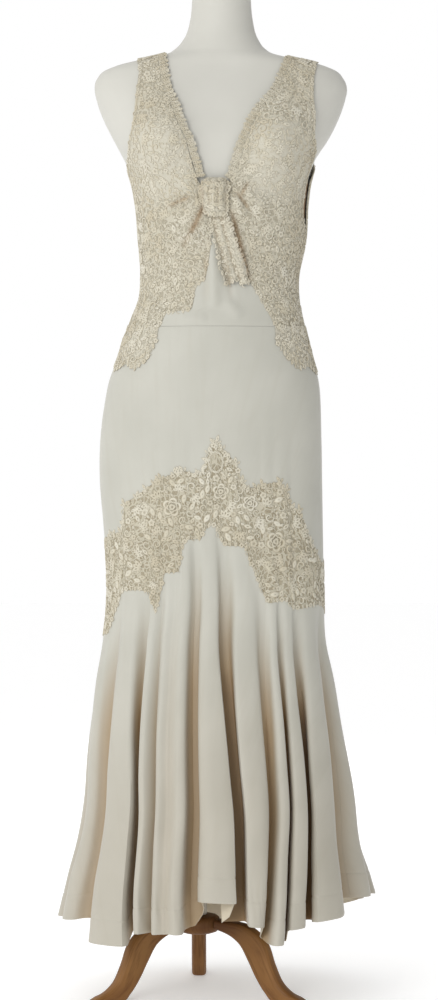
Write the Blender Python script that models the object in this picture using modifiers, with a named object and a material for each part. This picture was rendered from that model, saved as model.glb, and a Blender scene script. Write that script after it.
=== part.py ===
"""Bias-cut sheath evening gown of crepe and lace, worn on a limbless dress form on a tripod stand.

Metres, +Z up, the gown's front faces -Y, origin on the floor under the gown. A place on the gown is an
azimuth, in degrees from the front towards +X, and a height. Above CORE_TOP the height is measured along
a turn over the shoulder, so the same two numbers reach the straps.
"""
import math

import bmesh
import bpy
import numpy as np

OBJECT_NAME = "sheath_gown_on_dress_form"

# Driving dimensions
CREPE_WALL = 0.0018
LACE_WALL = 0.0016
EASE = 0.0032
SEAM_GAP = 0.0003
LAID_GAP = 0.0012
PLACKET_GAP = 0.0016
PLACKET_TAPE = 0.0010
PLACKET_REACH = 3.4
WAIST = 1.058
FORM_BASE = 0.740
FORM_SIDES = 24
NECK_TOP = 1.640
CORE_TOP = 1.42
TURN_RADIUS = 0.12
SHOULDER_LOW, SHOULDER_HIGH = 1.443, 1.507
WORN_ABOVE = 1.02
HUNG_BELOW = 0.90
FLUTE_TOP = 0.57
HEM_LEVEL = 0.13
OPENING_INSET = 0.24
BAND_OPENINGS = {"front": 84, "back": 44}
BODICE_OPENINGS = {"front": 18, "back": 12}
COLUMN_CLEARANCE = 3.0
FLUTE_SHARES = (0.22, 0.5, 0.78)
HIP_DROPS = (0.0, 0.10, 0.22, 0.40, 0.66, 1.0)
FLARE_DROPS = (0.0, 0.06, 0.17, 0.34, 0.52, 0.70, 0.87, 1.0)
EDGING_GAP = 0.5
EDGING_FROM = 7
EDGING_STEPS = 28
EDGING_WAVE = 0.0016
SCALLOP_DEPTH = 0.16
KNOT_WALL = 0.0028
KNOT_FOLD = 0.0012
TAIL_WAVE = 0.0034
TAIL_DIP = 0.004
HIP_LACE_LAP = 0.004
POLE_X = -0.033
POLE_RADIUS = 0.014
HUB_RADIUS = 0.035
HUB_LOW, HUB_HIGH = 0.095, 0.124
LEG_THICKNESS = 0.024
RIGHT_SEAM = 80.0

# Dress form: height, centre x, half width, front depth, back depth, squareness
FIGURE = (
    (1.640, 0.004, 0.046, 0.046, 0.052, 2.0),
    (1.587, 0.004, 0.047, 0.047, 0.054, 2.0),
    (1.555, 0.004, 0.050, 0.048, 0.058, 2.0),
    (1.523, 0.003, 0.060, 0.052, 0.066, 2.0),
    (1.507, 0.002, 0.073, 0.055, 0.072, 2.0),
    (1.498, 0.002, 0.088, 0.057, 0.075, 2.05),
    (1.490, 0.002, 0.122, 0.060, 0.078, 2.1),
    (1.483, 0.002, 0.156, 0.062, 0.080, 2.15),
    (1.475, 0.002, 0.180, 0.064, 0.083, 2.2),
    (1.459, 0.002, 0.198, 0.070, 0.088, 2.2),
    (1.443, 0.003, 0.202, 0.077, 0.092, 2.2),
    (1.427, 0.003, 0.199, 0.084, 0.095, 2.2),
    (1.395, 0.003, 0.188, 0.095, 0.099, 2.2),
    (1.363, 0.003, 0.172, 0.102, 0.101, 2.2),
    (1.331, 0.001, 0.153, 0.104, 0.101, 2.2),
    (1.299, 0.003, 0.140, 0.102, 0.099, 2.2),
    (1.267, 0.004, 0.134, 0.099, 0.096, 2.2),
    (1.203, 0.005, 0.129, 0.094, 0.088, 2.2),
    (1.139, 0.001, 0.121, 0.090, 0.080, 2.2),
    (1.107, 0.000, 0.123, 0.090, 0.078, 2.2),
    (1.075, -0.003, 0.132, 0.093, 0.082, 2.2),
    (1.043, -0.005, 0.142, 0.097, 0.090, 2.2),
    (1.011, -0.006, 0.151, 0.100, 0.099, 2.2),
    (0.979, -0.008, 0.162, 0.103, 0.108, 2.2),
    (0.915, -0.011, 0.169, 0.104, 0.117, 2.2),
    (0.883, -0.013, 0.171, 0.103, 0.118, 2.2),
    (0.819, -0.013, 0.171, 0.100, 0.115, 2.2),
    (0.740, -0.011, 0.158, 0.088, 0.100, 2.2),
)

# Hanging skirt over its ridges: height, centre x, half width, front depth, back depth, squareness
SKIRT = (
    (1.075, -0.003, 0.137, 0.098, 0.087, 2.2),
    (0.979, -0.008, 0.167, 0.108, 0.113, 2.2),
    (0.883, -0.013, 0.177, 0.109, 0.124, 2.2),
    (0.819, -0.013, 0.178, 0.108, 0.124, 2.2),
    (0.755, -0.010, 0.176, 0.108, 0.122, 2.2),
    (0.691, -0.007, 0.174, 0.110, 0.121, 2.2),
    (0.627, -0.006, 0.174, 0.114, 0.121, 2.2),
    (0.563, -0.008, 0.179, 0.122, 0.128, 2.15),
    (0.499, -0.007, 0.192, 0.138, 0.142, 2.1),
    (0.435, -0.005, 0.202, 0.156, 0.160, 2.1),
    (0.371, -0.002, 0.211, 0.175, 0.180, 2.05),
    (0.307, 0.001, 0.219, 0.195, 0.200, 2.0),
    (0.243, 0.000, 0.228, 0.213, 0.218, 2.0),
    (0.179, -0.001, 0.246, 0.229, 0.230, 2.0),
    (0.107, 0.000, 0.262, 0.244, 0.240, 2.0),
    (0.060, 0.000, 0.270, 0.252, 0.244, 2.0),
)

# Padded bust: centre x, centre height, projection, half width, reach up, reach down
BUST = (
    (-0.100, 1.335, 0.034, 0.048, 0.062, 0.044),
    (0.104, 1.335, 0.034, 0.048, 0.062, 0.044),
)

# Creases that run from the knot: start x, start height, end x, end height, rise, half width
CREASES = (
    (-0.024, 1.268, -0.086, 1.242, 0.0040, 0.008),
    (-0.022, 1.236, -0.046, 1.186, 0.0045, 0.008),
    (-0.026, 1.284, -0.070, 1.290, 0.0030, 0.008),
    (0.016, 1.268, 0.040, 1.226, 0.0045, 0.008),
    (0.012, 1.236, 0.040, 1.140, 0.0050, 0.009),
    (0.030, 1.276, 0.072, 1.246, 0.0035, 0.009),
    (-0.010, 1.192, -0.006, 1.086, 0.0040, 0.010),
    (0.010, 1.100, 0.034, 1.072, 0.0025, 0.010),
    (-0.060, 1.068, -0.020, 1.074, 0.0025, 0.009),
)

# Valleys between the skirt's flutes: azimuth at the lace, azimuth at the hem, depth at the hem
VALLEYS = (
    (-172.0, -171.0, 0.034),
    (-156.0, -154.0, 0.042),
    (-140.0, -139.0, 0.030),
    (-124.0, -121.0, 0.044),
    (-108.0, -103.0, 0.032),
    (-91.0, -83.0, 0.030),
    (-70.0, -60.0, 0.034),
    (-49.0, -31.5, 0.052),
    (-39.5, -25.0, 0.018),
    (-30.0, -19.5, 0.014),
    (-16.5, -12.0, 0.042),
    (8.5, 9.5, 0.046),
    (38.0, 18.0, 0.030),
    (46.5, 27.5, 0.036),
    (57.0, 37.5, 0.052),
    (78.0, 62.0, 0.030),
    (94.0, 86.0, 0.032),
    (110.0, 105.0, 0.042),
    (126.0, 123.0, 0.030),
    (142.0, 140.0, 0.044),
    (157.0, 156.0, 0.034),
    (172.5, 172.0, 0.040),
)

# Hem: azimuth, height
HEM = (
    (-180.0, 0.076), (-150.0, 0.079), (-120.0, 0.100), (-98.0, 0.118), (-82.0, 0.125),
    (-65.0, 0.132), (-59.0, 0.136), (-54.0, 0.105), (-36.0, 0.108), (-31.0, 0.128),
    (-14.0, 0.131), (-11.0, 0.162), (-8.0, 0.182), (6.0, 0.176), (10.0, 0.150),
    (16.0, 0.142), (19.0, 0.114), (27.5, 0.114), (30.0, 0.134), (38.0, 0.139),
    (57.0, 0.149), (61.0, 0.166), (86.0, 0.161), (100.0, 0.150), (112.0, 0.136),
    (125.0, 0.114), (155.0, 0.084), (180.0, 0.076),
)

# Lace band: azimuth, height of its upper edge, height of its lower edge
BAND = (
    (-180.0, 0.806, 0.690), (-173.0, 0.792, 0.676), (-162.0, 0.786, 0.672), (-150.0, 0.764, 0.650),
    (-138.0, 0.762, 0.642), (-126.0, 0.738, 0.618), (-114.0, 0.732, 0.610), (-102.0, 0.706, 0.588),
    (-90.0, 0.720, 0.571), (-75.5, 0.731, 0.576), (-72.5, 0.733, 0.601), (-66.0, 0.737, 0.641),
    (-64.2, 0.750, 0.644), (-62.2, 0.781, 0.645), (-54.0, 0.793, 0.646), (-48.0, 0.804, 0.643),
    (-42.6, 0.814, 0.610), (-40.0, 0.817, 0.647), (-38.0, 0.821, 0.673), (-28.0, 0.829, 0.675),
    (-25.2, 0.831, 0.709), (-22.0, 0.833, 0.725), (-10.2, 0.827, 0.726), (-7.0, 0.830, 0.739),
    (-1.2, 0.862, 0.748), (2.8, 0.876, 0.744), (5.2, 0.879, 0.727), (9.5, 0.868, 0.716),
    (20.5, 0.845, 0.715), (25.0, 0.817, 0.712), (27.8, 0.806, 0.690), (35.0, 0.807, 0.647),
    (39.0, 0.811, 0.626), (50.5, 0.816, 0.630), (54.5, 0.804, 0.617), (57.8, 0.775, 0.616),
    (62.0, 0.772, 0.617), (69.2, 0.722, 0.620), (74.0, 0.704, 0.622), (80.0, 0.689, 0.620),
    (90.0, 0.686, 0.606), (102.0, 0.704, 0.592), (114.0, 0.730, 0.610), (126.0, 0.738, 0.618),
    (138.0, 0.762, 0.642), (150.0, 0.764, 0.650), (162.0, 0.786, 0.672), (173.0, 0.792, 0.676),
    (180.0, 0.806, 0.690),
)
BAND_TOP = tuple((azimuth, top) for azimuth, top, low in BAND)
BAND_LOW = tuple((azimuth, low) for azimuth, top, low in BAND)

# Front bodice edges, from the waist up to the shoulder: inner x, inner height, outer x, outer height.
# An outer x of None is the side seam, and a height of None is the shoulder seam.
BODICE_LEFT = (
    (-0.090, 1.058, None, 1.058),
    (-0.080, 1.079, None, 1.080),
    (-0.042, 1.085, None, 1.098),
    (-0.036, 1.116, None, 1.126),
    (-0.020, 1.137, None, 1.152),
    (-0.011, 1.201, None, 1.204),
    (-0.014, 1.255, None, 1.248),
    (-0.034, 1.290, None, 1.290),
    (-0.051, 1.340, -0.139, 1.340),
    (-0.065, 1.371, -0.131, 1.386),
    (-0.076, 1.404, -0.129, 1.430),
    (-0.089, 1.436, -0.126, 1.464),
    (-0.094, 1.468, -0.127, 1.474),
    (-0.096, 1.486, -0.127, 1.486),
    (-0.097, None, -0.127, None),
)
BODICE_RIGHT = (
    (0.086, 1.058, None, 1.058),
    (0.075, 1.080, None, 1.080),
    (0.062, 1.104, None, 1.104),
    (0.047, 1.128, None, 1.130),
    (0.030, 1.162, None, 1.162),
    (0.009, 1.201, None, 1.204),
    (0.005, 1.250, None, 1.248),
    (0.018, 1.286, None, 1.290),
    (0.032, 1.310, 0.147, 1.330),
    (0.047, 1.356, 0.147, 1.366),
    (0.062, 1.388, 0.148, 1.410),
    (0.094, 1.430, 0.149, 1.446),
    (0.108, 1.464, 0.152, 1.464),
    (0.116, 1.482, 0.154, 1.479),
    (0.120, None, 0.155, None),
)
MIDRIFF_ROWS = 6

# Back bodice edges: inner x, inner height, outer x, outer height. An inner x of None is the centre back.
BACK_LEFT = (
    (None, 1.058, None, 1.058),
    (None, 1.110, None, 1.110),
    (None, 1.170, None, 1.170),
    (None, 1.230, None, 1.230),
    (None, 1.290, None, 1.290),
    (-0.030, 1.335, -0.137, 1.340),
    (-0.056, 1.386, -0.131, 1.390),
    (-0.080, 1.436, -0.129, 1.440),
    (-0.090, 1.470, -0.128, 1.472),
    (-0.097, None, -0.127, None),
)
BACK_RIGHT = (
    (None, 1.058, None, 1.058),
    (None, 1.110, None, 1.110),
    (None, 1.170, None, 1.170),
    (None, 1.230, None, 1.230),
    (None, 1.290, None, 1.290),
    (0.034, 1.335, 0.148, 1.340),
    (0.064, 1.386, 0.148, 1.390),
    (0.096, 1.436, 0.149, 1.440),
    (0.110, 1.468, 0.153, 1.464),
    (0.120, None, 0.155, None),
)

# Free edge of the neckline's lace edging, from the knot to the shoulder: x, height
EDGING_LEFT = (
    (-0.021, 1.291), (-0.024, 1.300), (-0.037, 1.340), (-0.051, 1.371), (-0.061, 1.404),
    (-0.073, 1.433), (-0.078, 1.462), (-0.081, 1.486), (-0.082, None),
)
EDGING_RIGHT = (
    (0.009, 1.291), (0.014, 1.303), (0.033, 1.356), (0.048, 1.388), (0.080, 1.430),
    (0.095, 1.466), (0.102, 1.484), (0.106, None),
)

# Opening of the side placket: height, half width in degrees
PLACKET_OPENING = ((1.212, 0.0), (1.240, 1.2), (1.268, 1.6), (1.292, 1.1))

# Knot of the gathered lace: height, centre x, half width, projection
KNOT = (
    (1.290, -0.006, 0.013, 0.003),
    (1.284, -0.006, 0.019, 0.010),
    (1.270, -0.007, 0.022, 0.014),
    (1.254, -0.006, 0.020, 0.013),
    (1.238, -0.004, 0.017, 0.010),
    (1.230, -0.003, 0.015, 0.004),
)

# Lace tail under the knot: height, left x, right x
TAIL = (
    (1.2297, -0.014, 0.012),
    (1.205, -0.010, 0.020),
    (1.175, -0.004, 0.029),
    (1.150, 0.001, 0.038),
    (1.128, 0.008, 0.044),
)

# Lace laid on the hips under the waist seam: azimuth, lowest height
HIP_LACE_LEFT = (
    (-108.0, 1.012), (-98.0, 1.000), (-88.0, 1.004), (-78.0, 0.990), (-68.0, 1.000), (-60.0, 0.990),
    (-53.0, 1.006), (-48.5, 1.036),
)
HIP_LACE_RIGHT = (
    (49.5, 1.034), (56.0, 1.010), (64.0, 0.992), (72.0, 0.998), (82.0, 0.986), (92.0, 1.000),
    (102.0, 1.006), (110.0, 1.016),
)

# Cast leg of the stand, in the plane of its radius: distance from the hub's axis, height
LEG_UNDERSIDE = (
    (0.0353, 0.104), (0.058, 0.097), (0.078, 0.084), (0.094, 0.059), (0.108, 0.034), (0.124, 0.012),
    (0.138, 0.0),
)
LEG_TOPSIDE = (
    (0.190, 0.0), (0.192, 0.006), (0.171, 0.014), (0.152, 0.029), (0.138, 0.056), (0.127, 0.085),
    (0.110, 0.104), (0.080, 0.117), (0.0353, 0.120),
)
LEG_DIRECTIONS = {"leg_front_left": -60.0, "leg_front_right": 60.0, "leg_back": 180.0}

# Heights of the form's rings, and how far the lowest ones are drawn in
FORM_RINGS = (
    1.640, 1.590, 1.555, 1.532, 1.516, 1.505, 1.498, 1.490, 1.480, 1.470, 1.457, 1.440, 1.418, 1.392,
    1.365, 1.338, 1.312, 1.284, 1.245, 1.205, 1.165, 1.140, 1.118, 1.096, 1.070, 1.035, 0.985, 0.910,
    0.820, 0.748, FORM_BASE,
)
DRAWN_IN = {0.748: 0.97, FORM_BASE: 0.90}
NECK_CAP_RISE, NECK_CAP_SHARE = 0.006, 0.8

# Finishes: colour, roughness, metallic
FINISHES = {
    "crepe": ((0.70, 0.66, 0.57), 0.55, 0.0),
    "lace": ((0.74, 0.66, 0.49), 0.75, 0.0),
    "placket_tape": ((0.34, 0.25, 0.17), 0.8, 0.0),
    "form_cover": ((0.60, 0.58, 0.53), 0.6, 0.0),
    "stand_wood": ((0.38, 0.17, 0.07), 0.4, 0.0),
    "stand_pole": ((0.45, 0.44, 0.42), 0.35, 1.0),
}


def start_scene():
    """Empties the scene and returns the part's collection."""
    for item in list(bpy.data.objects):
        bpy.data.objects.remove(item, do_unlink=True)
    collection = bpy.data.collections.new(OBJECT_NAME)
    bpy.context.scene.collection.children.link(collection)
    return collection


def finish(name):
    """Principled material of one of the FINISHES."""
    if name in bpy.data.materials:
        return bpy.data.materials[name]
    colour, roughness, metallic = FINISHES[name]
    material = bpy.data.materials.new(name)
    material.use_nodes = True
    shader = material.node_tree.nodes["Principled BSDF"]
    shader.inputs["Base Color"].default_value = (*colour, 1.0)
    shader.inputs["Roughness"].default_value = roughness
    shader.inputs["Metallic"].default_value = metallic
    return material


def add_object(name, mesh, finish_name, collection, smooth_angle=40.0):
    """Turns a bmesh into a named object with its finish."""
    bmesh.ops.recalc_face_normals(mesh, faces=mesh.faces)
    if mesh.calc_volume(signed=True) < 0:
        bmesh.ops.reverse_faces(mesh, faces=mesh.faces[:])
    data = bpy.data.meshes.new(name)
    mesh.to_mesh(data)
    mesh.free()
    data.shade_smooth()
    data.set_sharp_from_angle(angle=math.radians(smooth_angle))
    data.materials.append(finish(finish_name))
    item = bpy.data.objects.new(name, data)
    collection.objects.link(item)
    return item


def smooth_rows(table, height):
    """Row of a section table at any height, through a smooth curve."""
    rows = np.array(table[::-1])
    levels = rows[:, 0]
    height = np.clip(np.asarray(height, float), levels[0], levels[-1])
    low = np.clip(np.searchsorted(levels, height, side="right") - 1, 0, len(levels) - 2)
    slopes = np.gradient(rows[:, 1:], levels, axis=0)
    step = (levels[low + 1] - levels[low])[..., None]
    s = (height[..., None] - levels[low][..., None]) / step
    start, end = rows[low, 1:], rows[low + 1, 1:]
    value = start * (1 + 2 * s) * (1 - s) ** 2 + end * s * s * (3 - 2 * s)
    value = value + slopes[low] * step * s * (1 - s) ** 2 + slopes[low + 1] * step * s * s * (s - 1)
    return np.moveaxis(value, -1, 0)


def bust_projection(x, height, side_share):
    """How far the padded bust stands out, fading to nothing at the form's sides."""
    total = 0.0
    for centre_x, centre, projection, width, up, down in BUST:
        reach = np.where(height > centre, up, down)
        total = total + projection * np.exp(-((x - centre_x) / width) ** 2 - ((height - centre) / reach) ** 2)
    return total * (1 - np.clip(side_share, 0, 1) ** 3)


def front_face(x, height):
    """Depth y of the form's front at a place seen from the front."""
    centre, half, front, _, power = smooth_rows(FIGURE, height)
    share = np.clip(np.abs(x - centre) / half, 0, 1)
    return -front * (1 - share ** power) ** (1 / power) - bust_projection(x, height, share)


def back_face(x, height):
    """Depth y of the form's back at a place seen from behind."""
    centre, half, _, back, power = smooth_rows(FIGURE, height)
    share = np.clip(np.abs(x - centre) / half, 0, 1)
    return back * (1 - share ** power) ** (1 / power)


def core_and_ray(azimuth, height):
    """Point inside the form and direction that lead to a place on the gown."""
    core_height = np.minimum(height, CORE_TOP)
    turn = np.maximum(height - CORE_TOP, 0.0) / TURN_RADIUS
    centre = smooth_rows(FIGURE, core_height)[0]
    angle = np.radians(azimuth)
    core = np.stack([centre, np.zeros_like(centre), core_height], -1)
    ray = np.stack([np.sin(angle) * np.cos(turn), -np.cos(angle) * np.cos(turn), np.sin(turn)], -1)
    return core, ray


def figure_point(azimuth, height):
    """Place on the form's skin, found by halving the ray from its core."""
    core, ray = core_and_ray(azimuth, height)
    near = np.zeros(core.shape[:-1])
    far = np.full(core.shape[:-1], 0.40)
    for _ in range(34):
        middle = (near + far) / 2
        x, y, z = np.moveaxis(core + ray * middle[..., None], -1, 0)
        centre, half, front, back, power = smooth_rows(FIGURE, z)
        share = np.abs(x - centre) / half
        padded = np.where(y < 0, np.minimum(y + bust_projection(x, z, share), 0.0), y)
        depth = np.where(y < 0, front, back)
        inside = share ** power + (np.abs(padded) / depth) ** power < 1
        near = np.where(inside, middle, near)
        far = np.where(inside, far, middle)
    return core + ray * near[..., None]


def outward(place, azimuth, height, step_degrees=0.6, step_height=0.003):
    """Unit normal of a surface that is a function of azimuth and height."""
    across = place(azimuth + step_degrees, height) - place(azimuth - step_degrees, height)
    along = place(azimuth, height + step_height) - place(azimuth, height - step_height)
    normal = np.cross(across, along)
    return normal / np.linalg.norm(normal, axis=-1, keepdims=True)


def worn_point(azimuth, height):
    """Outer face of cloth that the form fills."""
    lift = EASE + CREPE_WALL
    return figure_point(azimuth, height) + lift * outward(figure_point, azimuth, height)


def hung_point(azimuth, height):
    """Outer face of the skirt that hangs free, over its ridges."""
    centre, half, front, back, power = smooth_rows(SKIRT, height)
    angle = np.radians(azimuth)
    sine, cosine = np.sin(angle), np.cos(angle)
    depth = np.where(cosine > 0, front, back)
    radius = ((np.abs(sine) / half) ** power + (np.abs(cosine) / depth) ** power) ** (-1 / power)
    return np.stack([centre + radius * sine, -radius * cosine, height], -1)


def crease_rise(x, y, height):
    """Rise of the creases that run out from the knot, at places seen from the front."""
    rise = np.zeros_like(x)
    for start_x, start_height, end_x, end_height, top, width in CREASES:
        run_x, run_height = end_x - start_x, end_height - start_height
        length = math.hypot(run_x, run_height)
        along = ((x - start_x) * run_x + (height - start_height) * run_height) / length ** 2
        off = ((x - start_x) * run_height - (height - start_height) * run_x) / length
        fade = np.clip(1.15 - np.abs(2 * along - 1) ** 3, 0, 1) * (np.abs(2 * along - 1) < 1.05)
        rise = rise + top * fade * np.exp(-(off / width) ** 2)
    return np.where(y < 0, rise, 0.0)


def cloth_point(azimuth, height):
    """Outer face of the gown before the skirt's flutes."""
    azimuth, height = np.broadcast_arrays(np.asarray(azimuth, float), np.asarray(height, float))
    worn = worn_point(azimuth, np.maximum(height, HUNG_BELOW))
    x, y, z = np.moveaxis(worn, -1, 0)
    radial = worn * (1, 1, 0)
    radial = radial / np.linalg.norm(radial, axis=-1, keepdims=True)
    worn = worn + crease_rise(x, y, z)[..., None] * radial
    hung = hung_point(azimuth, np.minimum(height, WORN_ABOVE))
    share = np.clip((height - HUNG_BELOW) / (WORN_ABOVE - HUNG_BELOW), 0, 1)
    share = (share * share * (3 - 2 * share))[..., None]
    return hung * (1 - share) + worn * share


def cloth_normal(azimuth, height):
    """Unit normal of the gown before the skirt's flutes."""
    return outward(cloth_point, azimuth, height)


def edge_height(edge, azimuth):
    """Height of a seam or hem that is a table over the azimuth."""
    angles, heights = zip(*edge)
    return np.interp(azimuth, angles, heights)


def track(azimuth, height):
    """Azimuth that a line of cloth has lower down, where it leaves the lace at the given azimuth."""
    top = [row[0] for row in VALLEYS]
    low = [row[1] for row in VALLEYS]
    top = [top[-1] - 360] + top + [top[0] + 360]
    low = [low[-1] - 360] + low + [low[0] + 360]
    share = np.clip((FLUTE_TOP - height) / (FLUTE_TOP - HEM_LEVEL), 0, 1.1)
    return azimuth * (1 - share) + np.interp(azimuth, top, low) * share


def flute_depth(azimuth):
    """How far cloth lies inside the skirt's ridges at the hem, by the azimuth where it leaves the lace."""
    top = np.array([VALLEYS[-1][0] - 360] + [row[0] for row in VALLEYS] + [VALLEYS[0][0] + 360])
    depth = np.array([VALLEYS[-1][2]] + [row[2] for row in VALLEYS] + [VALLEYS[0][2]])
    index = np.clip(np.searchsorted(top, azimuth, side="right") - 1, 0, len(top) - 2)
    share = (azimuth - top[index]) / (top[index + 1] - top[index])
    ridge = (0.5 - 0.5 * np.cos(2 * math.pi * share)) ** 0.6
    return (depth[index] * (1 - share) + depth[index + 1] * share) * (1 - ridge)


def flare_point(azimuth, drop):
    """Outer face of the fluted skirt, where drop is 0 at the lace and 1 at the hem."""
    top = edge_height(BAND_LOW, azimuth) - SEAM_GAP / 2
    hem = edge_height(HEM, track(azimuth, HEM_LEVEL))
    height = top + (hem - top) * drop
    angle = track(azimuth, height)
    point = hung_point(angle, height)
    inwards = np.stack([-np.sin(np.radians(angle)), np.cos(np.radians(angle)), np.zeros_like(angle)], -1)
    return point + inwards * (flute_depth(azimuth) * np.clip(drop, 0, 1.1) ** 0.75)[..., None]


def flare_normal(azimuth, drop):
    """Unit normal of the fluted skirt."""
    low = np.maximum(drop - 0.02, 0.0)
    across = flare_point(azimuth + 0.3, drop) - flare_point(azimuth - 0.3, drop)
    along = flare_point(azimuth, low) - flare_point(azimuth, drop + 0.02)
    normal = np.cross(across, along)
    return normal / np.linalg.norm(normal, axis=-1, keepdims=True)


def front_place(x, height, side=-1):
    """Azimuth and height along the gown of a place that is seen from the front (side -1) or back (1)."""
    y = float(front_face(x, height) if side < 0 else back_face(x, height))
    if height <= CORE_TOP:
        centre = float(smooth_rows(FIGURE, height)[0])
        return math.degrees(math.atan2(x - centre, -y)), height
    centre = float(smooth_rows(FIGURE, CORE_TOP)[0])
    turn = math.atan2(height - CORE_TOP, math.hypot(x - centre, y))
    return math.degrees(math.atan2(x - centre, -y)), CORE_TOP + turn * TURN_RADIUS


def shoulder_place(x, side=-1):
    """Azimuth and height along the gown of the shoulder seam at an x."""
    levels = np.linspace(SHOULDER_LOW, SHOULDER_HIGH, 200)
    centre, half = smooth_rows(FIGURE, levels)[:2]
    reach = centre + math.copysign(1, x) * half
    order = np.argsort(reach)
    height = float(np.interp(x, reach[order], levels[order]))
    core = float(smooth_rows(FIGURE, CORE_TOP)[0])
    turn = math.atan2(height - CORE_TOP, abs(x - core))
    return math.copysign(90 + side * seam_degrees(), x), CORE_TOP + turn * TURN_RADIUS


def seam_degrees(radius=0.13):
    """Half a seam's gap as an azimuth."""
    return math.degrees(SEAM_GAP / 2 / radius)


def columns_between(start, end, stops, extras, longest):
    """Azimuths from start to end: every stop, the extras that lie clear of them, and no step over the
    longest."""
    kept = [start] + sorted(a for a in stops if start + 0.5 < a < end - 0.5) + [end]
    for extra in extras:
        if start < extra < end and min(abs(extra - a) for a in kept) > COLUMN_CLEARANCE:
            kept.append(extra)
    kept.sort()
    result = [start]
    for low, high in zip(kept, kept[1:]):
        count = max(1, math.ceil((high - low) / longest))
        result.extend(low + (high - low) * (i + 1) / count for i in range(count))
    return np.array(result)


def refine(rows, longest):
    """Adds rows to a table of places, so that no step along an edge is over the longest, or half over it
    where the gown turns over the shoulder."""
    result = [rows[0]]
    ends = [cloth_point(rows[:, k], rows[:, k + 1]) for k in (0, 2)]
    for index, (low, high) in enumerate(zip(rows, rows[1:])):
        length = max(np.linalg.norm(edge[index + 1] - edge[index]) for edge in ends)
        turning = high[1] > CORE_TOP or high[3] > CORE_TOP
        count = max(1, math.ceil(length / (longest / 2 if turning else longest)))
        for i in range(count):
            share = (i + 1) / count
            result.append(tuple(a + (b - a) * share for a, b in zip(low, high)))
    return np.array(result)


def wall(name, outer, inner, finish_name, collection, openings=()):
    """Closed wall between two grids of points, rows by columns, with the named cells cut through."""
    rows, columns = outer.shape[:2]
    mesh = bmesh.new()
    bmesh.ops.create_grid(mesh, x_segments=columns - 1, y_segments=rows - 1, size=1.0)
    for vert in mesh.verts:
        vert.co.x = (vert.co.x + 1) / 2 * (columns - 1)
        vert.co.y = (vert.co.y + 1) / 2 * (rows - 1)
    cut = []
    for face in mesh.faces:
        middle = face.calc_center_median()
        if (int(middle.y), int(middle.x)) in openings:
            cut.append(face)
    if cut:
        bmesh.ops.inset_individual(mesh, faces=cut, thickness=OPENING_INSET, use_even_offset=True)
        bmesh.ops.delete(mesh, geom=cut, context="FACES")
    grown = bmesh.ops.extrude_face_region(mesh, geom=mesh.faces[:])
    lining = {item for item in grown["geom"] if isinstance(item, bmesh.types.BMVert)}
    for vert in mesh.verts:
        grid = inner if vert in lining else outer
        column, row = vert.co.x, vert.co.y
        i = min(int(column), columns - 2)
        j = min(int(row), rows - 2)
        u, v = column - i, row - j
        low = grid[j, i] * (1 - u) + grid[j, i + 1] * u
        high = grid[j + 1, i] * (1 - u) + grid[j + 1, i + 1] * u
        vert.co = low * (1 - v) + high * v
    add_object(name, mesh, finish_name, collection)


def panel(name, azimuth, height, thickness, finish_name, collection, openings=(), lift=None):
    """Wall on grids of azimuths and heights. Its outer face is the gown's, or a lift away lies its inner
    face."""
    point, normal = cloth_point(azimuth, height), cloth_normal(azimuth, height)
    rise = np.broadcast_to(-thickness if lift is None else lift, azimuth.shape)[..., None]
    outer, inner = point + normal * (rise + thickness), point + normal * rise
    wall(name, outer, inner, finish_name, collection, openings)


def ruled(rows, count):
    """Grids of azimuths and heights between the first and the second edge of a table of places."""
    share = np.linspace(0, 1, count)[None, :]
    azimuth = rows[:, 0:1] * (1 - share) + rows[:, 2:3] * share
    height = rows[:, 1:2] * (1 - share) + rows[:, 3:4] * share
    return azimuth, height


def lace_cells(rows, columns, most):
    """Cells of a lace panel that are cut through: a brick pattern that keeps the panel's rim whole."""
    inside = [(row, column) for row in range(1, rows - 2) for column in range(1, columns - 2)]
    cells = [cell for cell in inside if sum(cell) % 2 == 0]
    step = max(1.0, len(cells) / most)
    return {cells[int(i * step)] for i in range(int(len(cells) / step))}


def placket_half_width(height):
    """Half width of the side opening, as an azimuth."""
    levels, widths = zip(*PLACKET_OPENING)
    return float(np.interp(height, levels, widths, left=0.0, right=PLACKET_OPENING[-1][1]))


def bodice_edges(table, side):
    """Inner and outer edge of a bodice panel as azimuths and heights. Side is -1 in front and 1 behind."""
    result = []
    hand = -1 if table[-1][0] < 0 else 1
    gap = seam_degrees()
    side_seam = -90.0 if hand < 0 else RIGHT_SEAM
    for inner_x, inner_height, outer_x, outer_height in table:
        if inner_height is None:
            inner = shoulder_place(inner_x, side)
        elif inner_x is None:
            inner = (hand * (180.0 - gap), inner_height)
        else:
            inner = front_place(inner_x, inner_height, side)
        if outer_height is None:
            outer = shoulder_place(outer_x, side)
        elif outer_x is None:
            apart = gap + (placket_half_width(outer_height) if hand > 0 else 0.0)
            outer = (side_seam + side * hand * apart, outer_height)
        else:
            outer = front_place(outer_x, outer_height, side)
        result.append((*inner, *outer))
    rows = np.array(result)
    rows[0, 1] += SEAM_GAP / 2
    rows[0, 3] += SEAM_GAP / 2
    return rows


def shifted(rows, inner, outer):
    """Table of places with its inner and outer azimuths moved apart by half a seam."""
    moved = rows.copy()
    moved[:, 0] += inner
    moved[:, 2] += outer
    return moved


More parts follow.
